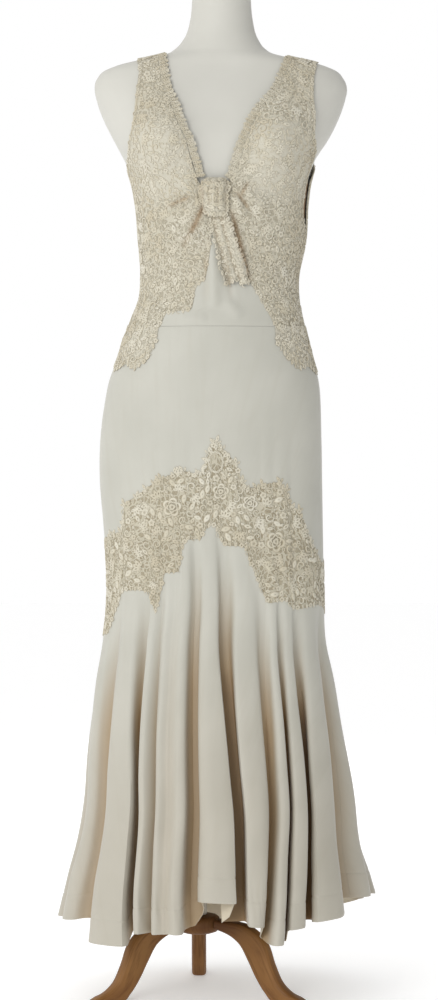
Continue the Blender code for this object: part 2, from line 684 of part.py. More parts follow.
def make_bodice(collection):
    """Lace bodice: two fronts, two backs, and the crepe let in over the midriff."""
    gap = seam_degrees(0.09)
    left = bodice_edges(BODICE_LEFT, -1)
    right = bodice_edges(BODICE_RIGHT, -1)
    fronts = {"bodice_front_left": shifted(left, -gap, 0), "bodice_front_right": shifted(right, gap, 0)}
    backs = {
        "bodice_back_left": bodice_edges(BACK_LEFT, 1),
        "bodice_back_right": bodice_edges(BACK_RIGHT, 1),
    }
    for name, edges in fronts.items():
        azimuth, height = ruled(refine(edges, 0.032), 8)
        cells = lace_cells(*azimuth.shape, BODICE_OPENINGS["front"])
        panel(name, azimuth, height, LACE_WALL, "lace", collection, cells)
    for name, edges in backs.items():
        azimuth, height = ruled(refine(edges, 0.042), 8)
        cells = lace_cells(*azimuth.shape, BODICE_OPENINGS["back"])
        panel(name, azimuth, height, LACE_WALL, "lace", collection, cells)
    inset = np.hstack([left[:MIDRIFF_ROWS, :2], right[:MIDRIFF_ROWS, :2]])
    azimuth, height = ruled(refine(shifted(inset, gap, -gap), 0.026), 11)
    panel("midriff_front", azimuth, height, CREPE_WALL, "crepe", collection)


def make_edging(collection):
    """Waved lace edging along both sides of the neckline."""
    for name, free_edge, bodice, hand in (
        ("neck_edging_left", EDGING_LEFT, BODICE_LEFT, -1),
        ("neck_edging_right", EDGING_RIGHT, BODICE_RIGHT, 1),
    ):
        seam = [row[:2] for row in bodice_edges(bodice, -1)[EDGING_FROM:]]
        seam = np.array(seam) - (hand * EDGING_GAP, 0)
        free = np.array([shoulder_place(x) if z is None else front_place(x, z) for x, z in free_edge])
        along = np.linspace(0, 1, EDGING_STEPS + 1)
        count = len(seam) - 1
        seam_path = np.stack([np.interp(along * count, range(count + 1), seam[:, k]) for k in (0, 1)], -1)
        count = len(free) - 1
        free_path = np.stack([np.interp(along * count, range(count + 1), free[:, k]) for k in (0, 1)], -1)
        scallop = 1 - SCALLOP_DEPTH * np.abs(np.cos(along * math.pi * EDGING_STEPS / 2))
        across = np.array([0.0, 0.5, 1.0])[None, :] * scallop[:, None]
        azimuth = seam_path[:, 0:1] + (free_path[:, 0:1] - seam_path[:, 0:1]) * across
        height = seam_path[:, 1:2] + (free_path[:, 1:2] - seam_path[:, 1:2]) * across
        wave = EDGING_WAVE * (1 + np.cos(along * math.pi * EDGING_STEPS)) * np.clip(along * 5, 0, 1)
        point, normal = cloth_point(azimuth, height), cloth_normal(azimuth, height)
        rise = (wave[:, None] * across)[..., None]
        wall(name, point + normal * rise, point + normal * (rise - LACE_WALL), "lace", collection)


def make_knot(collection):
    """Gathered lace knot at the centre front and the tail of lace that hangs from it."""
    rows = np.array(KNOT)
    across = np.linspace(-1, 1, 13)
    outer, inner = [], []
    for height, centre, half, projection in rows:
        places = np.array([front_place(centre + half * u, height) for u in across])
        point = cloth_point(places[:, 0], places[:, 1])
        normal = cloth_normal(places[:, 0], places[:, 1])
        dome = projection * (1 - np.abs(across) ** 2.4) + KNOT_FOLD * np.cos(across * math.pi * 3.0)
        inner.append(point + normal * LAID_GAP * 2)
        outer.append(point + normal * (LAID_GAP * 2 + KNOT_WALL + np.maximum(dome, 0.0))[:, None])
    wall("knot", np.array(outer), np.array(inner), "lace", collection)
    across = np.linspace(0, 1, 11)
    table = np.array(TAIL)
    levels = np.linspace(0, len(table) - 1, 7)
    rows = np.stack([np.interp(levels, range(len(table)), table[:, k]) for k in range(3)], -1)
    azimuth, height = [], []
    for level, left, right in rows:
        dip = TAIL_DIP * np.sin(across * math.pi * 3) * (table[0, 0] - level) / (table[0, 0] - table[-1, 0])
        places = np.array([front_place(left + (right - left) * u, level - d) for u, d in zip(across, dip)])
        azimuth.append(places[:, 0])
        height.append(places[:, 1])
    azimuth, height = np.array(azimuth), np.array(height)
    swing = np.linspace(0.35, 1, len(rows))[:, None]
    waves = TAIL_WAVE * swing * (1 + np.cos(across * math.pi * 5))[None, :]
    panel("knot_tail", azimuth, height, LACE_WALL, "lace", collection, lift=LAID_GAP * 2 + waves)


def make_skirt(collection):
    """Crepe hip section, lace band and fluted skirt, each as a front and a back between the side seams."""
    gap = seam_degrees(0.17)
    half = SEAM_GAP / 2
    valleys = [row[0] for row in VALLEYS]
    keys = valleys + [a + (b - a) * s for a, b in zip(valleys, valleys[1:]) for s in FLUTE_SHARES]
    keys += [180.0 + (valleys[0] + 180.0) / 2]
    spans = {"front": (-90.0 + gap, RIGHT_SEAM - gap), "back": (RIGHT_SEAM + gap, 270.0 - gap)}
    for side, (start, end) in spans.items():
        stops = [a + 360 if a < start else a for a, _, _ in BAND if a < 180.0]
        extras = [a + 360 if a < start else a for a in keys]
        azimuth = columns_between(start, end, stops, [], 9.0)
        azimuth = np.where(azimuth > 180, azimuth - 360, azimuth)[None, :]
        top = edge_height(BAND_TOP, azimuth)
        low = edge_height(BAND_LOW, azimuth)

        drop = np.array(HIP_DROPS)[:, None]
        height = (WAIST - half) * (1 - drop) + (top + half) * drop
        across = np.broadcast_to(azimuth, height.shape)
        panel("hip_" + side, across, height, CREPE_WALL, "crepe", collection)

        drop = np.linspace(0, 1, 6)[:, None]
        height = (top - half) * (1 - drop) + (low + half) * drop
        across = np.broadcast_to(azimuth, height.shape)
        cells = lace_cells(*height.shape, BAND_OPENINGS[side])
        panel("lace_band_" + side, across, height, LACE_WALL, "lace", collection, cells)

        azimuth = columns_between(start, end, stops, extras, 5.5)
        azimuth = np.where(azimuth > 180, azimuth - 360, azimuth)[None, :]
        azimuth, drop = np.broadcast_arrays(azimuth, np.array(FLARE_DROPS)[:, None])
        outer = flare_point(azimuth, drop)
        seam_normal = cloth_normal(azimuth[:1], edge_height(BAND_LOW, azimuth[:1]))
        normal = np.concatenate([seam_normal, flare_normal(azimuth, drop)[1:]])
        wall("flare_" + side, outer, outer - normal * CREPE_WALL, "crepe", collection)


def make_hip_lace(collection):
    """Lace that runs on from the bodice and is laid over each hip."""
    for name, table in (("hip_lace_left", HIP_LACE_LEFT), ("hip_lace_right", HIP_LACE_RIGHT)):
        azimuth = columns_between(table[0][0], table[-1][0], [row[0] for row in table], [], 6.0)[None, :]
        drop = np.linspace(0, 1, 5)[:, None]
        height = (WAIST + HIP_LACE_LAP) * (1 - drop) + edge_height(table, azimuth) * drop
        azimuth = np.broadcast_to(azimuth, height.shape)
        panel(name, azimuth, height, LACE_WALL, "lace", collection, lift=LAID_GAP)


def make_placket(collection):
    """Tape that backs the open side placket, between the bodice and the form."""
    low, high = PLACKET_OPENING[0][0], PLACKET_OPENING[-1][0]
    height = np.linspace(low, high, 6)[:, None]
    azimuth = np.linspace(RIGHT_SEAM - PLACKET_REACH, RIGHT_SEAM + PLACKET_REACH, 5)[None, :]
    azimuth, height = np.broadcast_arrays(azimuth, height)
    point, normal = cloth_point(azimuth, height), cloth_normal(azimuth, height)
    face = point - normal * (LACE_WALL + PLACKET_GAP)
    wall("side_placket", face, face - normal * PLACKET_TAPE, "placket_tape", collection)


def make_form(collection):
    """Limbless dress form: one turned body from its flat base to the top of its neck."""
    turns = np.radians(np.arange(FORM_SIDES) * 360 / FORM_SIDES)
    mesh = bmesh.new()
    rings = []
    for height in FORM_RINGS:
        centre, half, front, back, power = (float(v) for v in smooth_rows(FIGURE, height))
        scale = DRAWN_IN.get(height, 1.0)
        ring = []
        for turn in turns:
            sine, cosine = math.sin(turn), math.cos(turn)
            x = centre + scale * half * math.copysign(abs(sine) ** (2 / power), sine)
            depth = front if cosine > 0 else back
            y = -scale * depth * math.copysign(abs(cosine) ** (2 / power), cosine)
            if cosine > 0.001:
                y -= float(bust_projection(x, height, abs(x - centre) / half))
            ring.append(mesh.verts.new((x, y, height)))
        rings.append(ring)
    centre, half, front, back, _ = (float(v) * NECK_CAP_SHARE for v in smooth_rows(FIGURE, NECK_TOP))
    cap = []
    for turn in turns:
        depth = front if math.cos(turn) > 0 else back
        x, y = centre + half * math.sin(turn), -depth * math.cos(turn)
        cap.append(mesh.verts.new((x, y, NECK_TOP + NECK_CAP_RISE)))
    rings.insert(0, cap)
    for high, low in zip(rings, rings[1:]):
        for i in range(len(turns)):
            j = (i + 1) % len(turns)
            mesh.faces.new((high[i], high[j], low[j], low[i]))
    mesh.faces.new(rings[0])
    mesh.faces.new(rings[-1])
    add_object("form_torso", mesh, "form_cover", collection, 60.0)


def make_stand(collection):
    """Pole, hub and three curved legs with flat feet."""
    mesh = bmesh.new()
    length = FORM_BASE - HUB_HIGH - 2 * SEAM_GAP
    bmesh.ops.create_cone(mesh, cap_ends=True, segments=24, radius1=POLE_RADIUS, radius2=POLE_RADIUS,
                          depth=length)
    pole = add_object("stand_pole", mesh, "stand_pole", collection)
    pole.location = (POLE_X, 0, HUB_HIGH + SEAM_GAP + length / 2)
    mesh = bmesh.new()
    bmesh.ops.create_cone(mesh, cap_ends=True, segments=24, radius1=HUB_RADIUS, radius2=HUB_RADIUS,
                          depth=HUB_HIGH - HUB_LOW)
    hub = add_object("stand_hub", mesh, "stand_wood", collection)
    hub.location = (POLE_X, 0, (HUB_HIGH + HUB_LOW) / 2)
    bevel = hub.modifiers.new("rounded_rims", "BEVEL")
    bevel.width = 0.006
    bevel.segments = 2
    for name, direction in LEG_DIRECTIONS.items():
        mesh = bmesh.new()
        outline = LEG_UNDERSIDE + LEG_TOPSIDE
        flat = [mesh.verts.new((r, -LEG_THICKNESS / 2, z)) for r, z in outline]
        face = mesh.faces.new(flat)
        grown = bmesh.ops.extrude_face_region(mesh, geom=[face])
        moved = [item for item in grown["geom"] if isinstance(item, bmesh.types.BMVert)]
        bmesh.ops.translate(mesh, verts=moved, vec=(0, LEG_THICKNESS, 0))
        leg = add_object(name, mesh, "stand_wood", collection)
        leg.location = (POLE_X, 0, 0)
        leg.rotation_euler = (0, 0, math.radians(direction - 90))


def main():
    collection = start_scene()
    make_bodice(collection)
    make_edging(collection)
    make_knot(collection)
    make_skirt(collection)
    make_hip_lace(collection)
    make_placket(collection)
    make_form(collection)
    make_stand(collection)


main()
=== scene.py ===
"""Looks of the sheath evening gown: cream silk crepe, ivory lace, and the dress form and stand that hold it.

Metres, +Z up, the gown's front faces -Y. A place on the gown is an azimuth, in degrees from the front
towards +X, and a height, which above CORE_TOP is measured along a turn over the shoulder. The cloth is made
of thin shells on that surface, the flutes hang on below it, and the lace is laid on as small padded motifs.
"""
import math
from collections import namedtuple

import bpy
import numpy as np
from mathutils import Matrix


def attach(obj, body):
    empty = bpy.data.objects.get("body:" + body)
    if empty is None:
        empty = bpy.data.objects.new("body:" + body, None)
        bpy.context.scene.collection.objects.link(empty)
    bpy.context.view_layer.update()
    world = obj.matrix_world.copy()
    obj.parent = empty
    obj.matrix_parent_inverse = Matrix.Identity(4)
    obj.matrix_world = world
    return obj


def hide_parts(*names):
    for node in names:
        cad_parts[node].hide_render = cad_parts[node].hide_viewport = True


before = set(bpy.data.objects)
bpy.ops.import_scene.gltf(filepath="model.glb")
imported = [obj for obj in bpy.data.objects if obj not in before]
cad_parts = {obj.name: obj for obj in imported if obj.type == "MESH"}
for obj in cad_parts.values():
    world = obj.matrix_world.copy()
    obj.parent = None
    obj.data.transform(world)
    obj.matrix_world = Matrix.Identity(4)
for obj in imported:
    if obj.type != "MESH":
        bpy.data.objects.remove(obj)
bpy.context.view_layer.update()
rng = np.random.default_rng(1934)

# Cloth: thickness of the crepe and of the net, gap at a seam, ease over the form, and the wall of the solids
CREPE = 0.0009
NET = 0.0005
SEAM_GAP = 0.0003
EASE = 0.0032
CLOTH_WALL = 0.0018

# Heights: the waist seam, the stretch in which the cloth leaves the form, the top of the flutes, the middle
# of the hem, and the depth of its turn-up
WAIST = 1.058
WORN_ABOVE = 1.02
HUNG_BELOW = 0.90
FLUTE_TOP = 0.57
HEM_LEVEL = 0.13
HEM_DEPTH = 0.037

# Shoulder: where the gown's heights start to turn, the radius of that turn, and the two ends of the seam
CORE_TOP = 1.42
TURN_RADIUS = 0.12
SHOULDER_LOW, SHOULDER_HIGH = 1.443, 1.507

# Azimuths of the side seams, and the radii that turn a distance round the gown into degrees
LEFT_SEAM, RIGHT_SEAM = -90.0, 80.0
HALVES = (("front", LEFT_SEAM, RIGHT_SEAM), ("back", RIGHT_SEAM, 360 + LEFT_SEAM))
HIP_RADIUS, BODICE_RADIUS, MIDRIFF_RADIUS = 0.17, 0.13, 0.09

# Chart of the gown's face: its steps in degrees and in height, its ends, and how far it laps over behind
CHART_TURN, CHART_RISE = 0.75, 0.0025
CHART_LOW, CHART_HIGH = 0.54, 1.631
CHART_LAP = 3.0

# Form and stand
FORM_BASE = 0.740
NECK_TOP = 1.640
POLE_X = -0.033
POLE_RADIUS = 0.014
HUB_RADIUS = 0.035
HUB_LOW, HUB_HIGH = 0.095, 0.124
LEG_THICKNESS = 0.024

# Studio: place and lens of the camera, where the lamps aim, and each lamp's name, place, size and power. The
# white surroundings are dimmed towards one side, between two cosines, from one strength to another.
CAMERA_PLACE = (0.0, -4.0, 0.787)
LENS = 90.0
AIM = (0.0, 0.0, 0.85)
LAMPS = (("key", (-1.8, -3.4, 1.9), 1.5, 47.0), ("back", (0.4, 4.0, 1.7), 2.0, 34.0))
DIMMED_TOWARDS = (0.86, 0.0, 0.51)
DIMMED_BETWEEN = (0.05, 0.95, 1.0, 0.42)

# Dress form: height, centre x, half width, front depth, back depth, squareness
FIGURE = (
    (1.640, 0.004, 0.046, 0.046, 0.052, 2.0),
    (1.587, 0.004, 0.047, 0.047, 0.054, 2.0),
    (1.555, 0.004, 0.050, 0.048, 0.058, 2.0),
    (1.523, 0.003, 0.060, 0.052, 0.066, 2.0),
    (1.507, 0.002, 0.073, 0.055, 0.072, 2.0),
    (1.498, 0.002, 0.088, 0.057, 0.075, 2.05),
    (1.490, 0.002, 0.122, 0.060, 0.078, 2.1),
    (1.483, 0.002, 0.156, 0.062, 0.080, 2.15),
    (1.475, 0.002, 0.180, 0.064, 0.083, 2.2),
    (1.459, 0.002, 0.198, 0.070, 0.088, 2.2),
    (1.443, 0.003, 0.202, 0.077, 0.092, 2.2),
    (1.427, 0.003, 0.199, 0.084, 0.095, 2.2),
    (1.395, 0.003, 0.188, 0.095, 0.099, 2.2),
    (1.363, 0.003, 0.172, 0.102, 0.101, 2.2),
    (1.331, 0.001, 0.153, 0.104, 0.101, 2.2),
    (1.299, 0.003, 0.140, 0.102, 0.099, 2.2),
    (1.267, 0.004, 0.134, 0.099, 0.096, 2.2),
    (1.203, 0.005, 0.129, 0.094, 0.088, 2.2),
    (1.139, 0.001, 0.121, 0.090, 0.080, 2.2),
    (1.107, 0.000, 0.123, 0.090, 0.078, 2.2),
    (1.075, -0.003, 0.132, 0.093, 0.082, 2.2),
    (1.043, -0.005, 0.142, 0.097, 0.090, 2.2),
    (1.011, -0.006, 0.151, 0.100, 0.099, 2.2),
    (0.979, -0.008, 0.162, 0.103, 0.108, 2.2),
    (0.915, -0.011, 0.169, 0.104, 0.117, 2.2),
    (0.883, -0.013, 0.171, 0.103, 0.118, 2.2),
    (0.819, -0.013, 0.171, 0.100, 0.115, 2.2),
    (0.740, -0.011, 0.158, 0.088, 0.100, 2.2),
)

# Hanging skirt over its ridges: height, centre x, half width, front depth, back depth, squareness
SKIRT = (
    (1.075, -0.003, 0.137, 0.098, 0.087, 2.2),
    (0.979, -0.008, 0.167, 0.108, 0.113, 2.2),
    (0.883, -0.013, 0.177, 0.109, 0.124, 2.2),
    (0.819, -0.013, 0.178, 0.108, 0.124, 2.2),
    (0.755, -0.010, 0.176, 0.108, 0.122, 2.2),
    (0.691, -0.007, 0.174, 0.110, 0.121, 2.2),
    (0.627, -0.006, 0.174, 0.114, 0.121, 2.2),
    (0.563, -0.008, 0.179, 0.122, 0.128, 2.15),
    (0.499, -0.007, 0.192, 0.138, 0.142, 2.1),
    (0.435, -0.005, 0.202, 0.156, 0.160, 2.1),
    (0.371, -0.002, 0.211, 0.175, 0.180, 2.05),
    (0.307, 0.001, 0.219, 0.195, 0.200, 2.0),
    (0.243, 0.000, 0.228, 0.213, 0.218, 2.0),
    (0.179, -0.001, 0.246, 0.229, 0.230, 2.0),
    (0.107, 0.000, 0.262, 0.244, 0.240, 2.0),
    (0.060, 0.000, 0.270, 0.252, 0.244, 2.0),
)

# Padded bust: centre x, centre height, projection, half width, reach up, reach down
BUST = (
    (-0.100, 1.335, 0.034, 0.048, 0.062, 0.044),
    (0.104, 1.335, 0.034, 0.048, 0.062, 0.044),
)

# Creases that run from the knot: start x, start height, end x, end height, rise, half width
CREASES = (
    (-0.024, 1.268, -0.086, 1.242, 0.0040, 0.008),
    (-0.022, 1.236, -0.046, 1.186, 0.0045, 0.008),
    (-0.026, 1.284, -0.070, 1.290, 0.0030, 0.008),
    (0.016, 1.268, 0.040, 1.226, 0.0045, 0.008),
    (0.012, 1.236, 0.040, 1.140, 0.0050, 0.009),
    (0.030, 1.276, 0.072, 1.246, 0.0035, 0.009),
    (-0.010, 1.192, -0.006, 1.086, 0.0040, 0.010),
    (0.010, 1.100, 0.034, 1.072, 0.0025, 0.010),
    (-0.060, 1.068, -0.020, 1.074, 0.0025, 0.009),
)

# Tucks between the creases, drawn in towards the form: start x, start height, end x, end height, depth,
# half width
TUCKS = (
    (-0.021, 1.252, -0.044, 1.204, 0.0029, 0.0052),
    (-0.040, 1.214, -0.058, 1.180, 0.0014, 0.0050),
    (-0.044, 1.262, -0.080, 1.246, 0.0020, 0.0042),
    (0.026, 1.268, 0.048, 1.240, 0.0022, 0.0040),
    (0.018, 1.242, 0.048, 1.126, 0.0029, 0.0050),
    (0.046, 1.284, 0.034, 1.262, 0.0020, 0.0036),
    (-0.020, 1.180, -0.020, 1.095, 0.0012, 0.0050),
    (0.012, 1.176, 0.020, 1.096, 0.0014, 0.0050),
)

# Valleys between the skirt's flutes: azimuth at the lace, azimuth at the hem, depth at the hem
VALLEYS = (
    (-172.0, -171.0, 0.034),
    (-156.0, -154.0, 0.042),
    (-140.0, -139.0, 0.030),
    (-124.0, -121.0, 0.044),
    (-108.0, -103.0, 0.032),
    (-91.0, -83.0, 0.030),
    (-70.0, -62.5, 0.034),
    (-49.0, -33.5, 0.052),
    (-39.5, -27.5, 0.026),
    (-30.0, -20.5, 0.006),
    (-16.5, -12.0, 0.037),
    (8.5, 10.2, 0.048),
    (38.0, 19.0, 0.037),
    (46.5, 25.8, 0.042),
    (57.0, 34.8, 0.054),
    (78.0, 62.0, 0.030),
    (94.0, 86.0, 0.032),
    (110.0, 105.0, 0.042),
    (126.0, 123.0, 0.030),
    (142.0, 140.0, 0.044),
    (157.0, 156.0, 0.034),
    (172.5, 172.0, 0.040),
)

# Section of a deep fold, from the middle of its valley to the middle of the flute: share of the flute's
# columns, share of its width, share of the depth. The cloth runs back under the flute before it turns out.
FOLD = (
    (0.00, 0.000, 1.00),
    (0.06, 0.100, 1.00),
    (0.11, 0.190, 0.96),
    (0.15, 0.210, 0.80),
    (0.20, 0.165, 0.50),
    (0.25, 0.125, 0.26),
    (0.29, 0.130, 0.12),
    (0.34, 0.190, 0.05),
    (0.42, 0.340, 0.01),
    (0.50, 0.500, 0.00),
)

# Flutes that hang furthest over, each by the azimuths at the lace of the valleys beside it
OVERHUNG_FLUTES = ((-16.5, 8.5), (46.5, 57.0), (57.0, 78.0))

# Hem: azimuth, height
HEM = (
    (-180.0, 0.076), (-150.0, 0.079), (-120.0, 0.100), (-98.0, 0.118), (-82.0, 0.125),
    (-67.0, 0.132), (-61.5, 0.136), (-56.5, 0.105), (-37.5, 0.108), (-33.0, 0.128),
    (-14.0, 0.131), (-11.6, 0.139), (-9.6, 0.180), (6.0, 0.176), (9.2, 0.145),
    (17.0, 0.140), (19.5, 0.114), (26.0, 0.114), (28.0, 0.134), (35.0, 0.139),
    (57.0, 0.149), (61.0, 0.166), (86.0, 0.161), (100.0, 0.150), (112.0, 0.136),
    (125.0, 0.114), (155.0, 0.084), (180.0, 0.076),
)

# Lace band: azimuth, height of its upper edge, height of its lower edge. Its steps behind are alike on both
# sides of the centre back.
BAND_BEHIND = (
    (180.0, 0.806, 0.690), (173.0, 0.792, 0.676), (162.0, 0.786, 0.672), (150.0, 0.764, 0.650),
    (138.0, 0.762, 0.642), (126.0, 0.738, 0.618),
)
BAND = (
    *((-azimuth, top, low) for azimuth, top, low in BAND_BEHIND),
    (-114.0, 0.732, 0.610), (-102.0, 0.706, 0.588),
    (-90.0, 0.720, 0.571), (-75.5, 0.731, 0.576), (-72.5, 0.733, 0.601), (-66.0, 0.737, 0.641),
    (-64.2, 0.750, 0.644), (-62.2, 0.781, 0.645), (-54.0, 0.793, 0.646), (-48.0, 0.804, 0.643),
    (-42.6, 0.814, 0.610), (-40.0, 0.817, 0.647), (-38.0, 0.821, 0.673), (-28.0, 0.829, 0.675),
    (-25.2, 0.831, 0.709), (-22.0, 0.833, 0.725), (-10.2, 0.827, 0.726), (-7.0, 0.830, 0.739),
    (-1.2, 0.862, 0.748), (2.8, 0.876, 0.744), (5.2, 0.879, 0.727), (9.5, 0.868, 0.716),
    (20.5, 0.845, 0.715), (25.0, 0.817, 0.712), (27.8, 0.806, 0.690), (35.0, 0.807, 0.647),
    (39.0, 0.811, 0.626), (50.5, 0.816, 0.630), (54.5, 0.804, 0.617), (57.8, 0.775, 0.616),
    (62.0, 0.772, 0.617), (69.2, 0.722, 0.620), (74.0, 0.704, 0.622), (80.0, 0.689, 0.620),
    (90.0, 0.686, 0.606), (102.0, 0.704, 0.592), (114.0, 0.730, 0.610),
    *BAND_BEHIND[::-1],
)
BAND_TOP = tuple((azimuth, top) for azimuth, top, low in BAND)
BAND_LOW = tuple((azimuth, low) for azimuth, top, low in BAND)

# Bodice edges, from the waist up to the shoulder: inner x, inner height, outer x, outer height. An inner x
# of None is the centre back, an outer x of None the side seam, and a height of None the shoulder seam.
BODICE_LEFT = (
    (-0.090, 1.058, None, 1.058),
    (-0.080, 1.079, None, 1.080),
    (-0.042, 1.085, None, 1.098),
    (-0.036, 1.116, None, 1.126),
    (-0.020, 1.137, None, 1.152),
    (-0.011, 1.201, None, 1.204),
    (-0.014, 1.255, None, 1.248),
    (-0.034, 1.290, None, 1.290),
    (-0.051, 1.340, -0.139, 1.340),
    (-0.065, 1.371, -0.131, 1.386),
    (-0.076, 1.404, -0.129, 1.430),
    (-0.089, 1.436, -0.126, 1.464),
    (-0.094, 1.468, -0.127, 1.474),
    (-0.096, 1.486, -0.127, 1.486),
    (-0.097, None, -0.127, None),
)
BODICE_RIGHT = (
    (0.086, 1.058, None, 1.058),
    (0.075, 1.080, None, 1.080),
    (0.062, 1.104, None, 1.104),
    (0.047, 1.128, None, 1.130),
    (0.030, 1.162, None, 1.162),
    (0.009, 1.201, None, 1.204),
    (0.005, 1.250, None, 1.248),
    (0.018, 1.286, None, 1.290),
    (0.032, 1.310, 0.147, 1.330),
    (0.047, 1.356, 0.147, 1.366),
    (0.062, 1.388, 0.148, 1.410),
    (0.094, 1.430, 0.149, 1.446),
    (0.108, 1.464, 0.152, 1.464),
    (0.116, 1.482, 0.154, 1.479),
    (0.120, None, 0.155, None),
)
BELOW_BACK_V = tuple((None, height, None, height) for height in (1.058, 1.110, 1.170, 1.230, 1.290))
BACK_LEFT = (
    *BELOW_BACK_V,
    (-0.030, 1.335, -0.137, 1.340),
    (-0.056, 1.386, -0.131, 1.390),
    (-0.080, 1.436, -0.129, 1.440),
    (-0.090, 1.470, -0.128, 1.472),
    (-0.097, None, -0.127, None),
)
BACK_RIGHT = (
    *BELOW_BACK_V,
    (0.034, 1.335, 0.148, 1.340),
    (0.064, 1.386, 0.148, 1.390),
    (0.096, 1.436, 0.149, 1.440),
    (0.110, 1.468, 0.153, 1.464),
    (0.120, None, 0.155, None),
)

# Rows of the front's tables that lie beside the midriff, and the first row that carries the edging
MIDRIFF_ROWS = 6
EDGING_FROM = 7

# Free edge of the neckline's lace edging, from the knot to the shoulder: x, height
EDGING_LEFT = (
    (-0.021, 1.291), (-0.024, 1.300), (-0.037, 1.340), (-0.051, 1.371), (-0.061, 1.404),
    (-0.073, 1.433), (-0.078, 1.462), (-0.081, 1.486), (-0.082, None),
)
EDGING_RIGHT = (
    (0.009, 1.291), (0.014, 1.303), (0.033, 1.356), (0.048, 1.388), (0.080, 1.430),
    (0.095, 1.466), (0.102, 1.484), (0.106, None),
)

# Opening of the side placket: height, degrees from the seam to its back edge. The front edge is pulled
# several times as far.
PLACKET_OPENING = ((1.212, 0.0), (1.240, 1.2), (1.268, 1.6), (1.292, 1.1))
PLACKET_PULL = 5.0

# Knot of the gathered lace: height, centre x, half width, projection
KNOT = (
    (1.290, -0.006, 0.013, 0.003),
    (1.284, -0.006, 0.019, 0.010),
    (1.270, -0.007, 0.022, 0.014),
    (1.254, -0.006, 0.020, 0.013),
    (1.238, -0.004, 0.017, 0.010),
    (1.230, -0.003, 0.015, 0.004),
)

# Lace tail under the knot: height, left x, right x
TAIL = (
    (1.2297, -0.014, 0.012),
    (1.205, -0.010, 0.020),
    (1.175, -0.004, 0.029),
    (1.150, 0.001, 0.038),
    (1.128, 0.008, 0.044),
)

# Lace laid on the hips under the waist seam: azimuth, lowest height
HIP_LACE_LEFT = (
    (-108.0, 1.012), (-98.0, 1.000), (-88.0, 1.004), (-78.0, 0.990), (-68.0, 1.000), (-60.0, 0.990),
    (-53.0, 1.006), (-48.5, 1.036),
)
HIP_LACE_RIGHT = (
    (49.5, 1.034), (56.0, 1.010), (64.0, 0.992), (72.0, 0.998), (82.0, 0.986), (92.0, 1.000),
    (102.0, 1.006), (110.0, 1.016),
)

# Leg of the stand, from the hub to the toe: distance from the hub's axis and height, under and on top
LEG = (
    (0.0353, 0.104, 0.0353, 0.120),
    (0.058, 0.097, 0.080, 0.117),
    (0.078, 0.084, 0.110, 0.104),
    (0.094, 0.059, 0.127, 0.085),
    (0.108, 0.034, 0.138, 0.056),
    (0.124, 0.012, 0.152, 0.029),
    (0.138, 0.000, 0.171, 0.014),
    (0.164, 0.000, 0.184, 0.009),
    (0.188, 0.000, 0.192, 0.004),
)
LEG_DIRECTIONS = {"leg_front_left": -60.0, "leg_front_right": 60.0, "leg_back": 180.0}


# Shaders


class Socket:
    """A value in a material. Python's arithmetic on it adds Math nodes."""

    def __init__(self, shade, link):
        self.shade, self.link = shade, link

    def maths(self, operation, *values):
        return self.shade.node("Math", {"operation": operation}, dict(enumerate(values)))

    def __add__(self, other):
        return self.maths("ADD", self, other)

    def __mul__(self, other):
        return self.maths("MULTIPLY", self, other)

    def __rsub__(self, other):
        return self.maths("SUBTRACT", other, self)

    __radd__ = __add__
    __rmul__ = __mul__

    def ramp(self, low, high):
        """0 at low, 1 at high, held there on both sides."""
        values = {"Value": self, "From Min": low, "From Max": high}
        return self.shade.node("MapRange", {"clamp": True}, values)

    def larger(self, other):
        return self.maths("MAXIMUM", self, other)

    def sine(self):
        return self.maths("SINE", self)


class Shade:
    """A material with one Principled shader, and the one method that adds any other node."""

    def __init__(self, name):
        self.material = bpy.data.materials.new(name)
        self.material.use_nodes = True
        self.tree = self.material.node_tree
        self.principled = self.tree.nodes["Principled BSDF"]

    def node(self, kind, settings=(), values=(), output=0):
        made = self.tree.nodes.new("ShaderNode" + kind)
        for name, value in dict(settings).items():
            setattr(made, name, value)
        for name, value in dict(values).items():
            if isinstance(value, Socket):
                self.tree.links.new(value.link, made.inputs[name])
            else:
                made.inputs[name].default_value = value
        return Socket(self, made.outputs[output])

    def mix(self, low, high, share):
        """Colour between two colours."""
        low, high = (c if isinstance(c, Socket) else (*c, 1.0) for c in (low, high))
        return self.node("Mix", {"data_type": "RGBA"}, {0: share, 6: low, 7: high}, 2)

    def attribute(self, name, output="Fac"):
        return self.node("Attribute", {"attribute_name": name}, output=output)

    def cloth(self, across=1.0, along=1.0):
        """The cloth's own two directions in metres, each stretched by a factor."""
        place = self.node("UVMap", {"uv_map": "cloth"})
        return self.node("VectorMath", {"operation": "MULTIPLY"}, {0: place, 1: (across, along, 1.0)})

    def noise(self, place, scale, detail=2.0, roughness=0.5):
        values = {"Vector": place, "Scale": scale, "Detail": detail, "Roughness": roughness}
        return self.node("TexNoise", values=values)

    def cells(self, place, scale, feature, randomness=1.0):
        values = {"Vector": place, "Scale": scale, "Randomness": randomness}
        return self.node("TexVoronoi", {"feature": feature}, values)

    def bump(self, height, strength, distance):
        return self.node("Bump", values={"Height": height, "Strength": strength, "Distance": distance})

    def surface(self, **values):
        """Sets the Principled shader's sockets, whose names have spaces for underscores."""
        for name, value in values.items():
            socket = self.principled.inputs[name.replace("_", " ")]
            if isinstance(value, Socket):
                self.tree.links.new(value.link, socket)
            elif isinstance(value, tuple) and len(value) == 3:
                socket.default_value = (*value, 1.0)
            else:
                socket.default_value = value
        return self.material


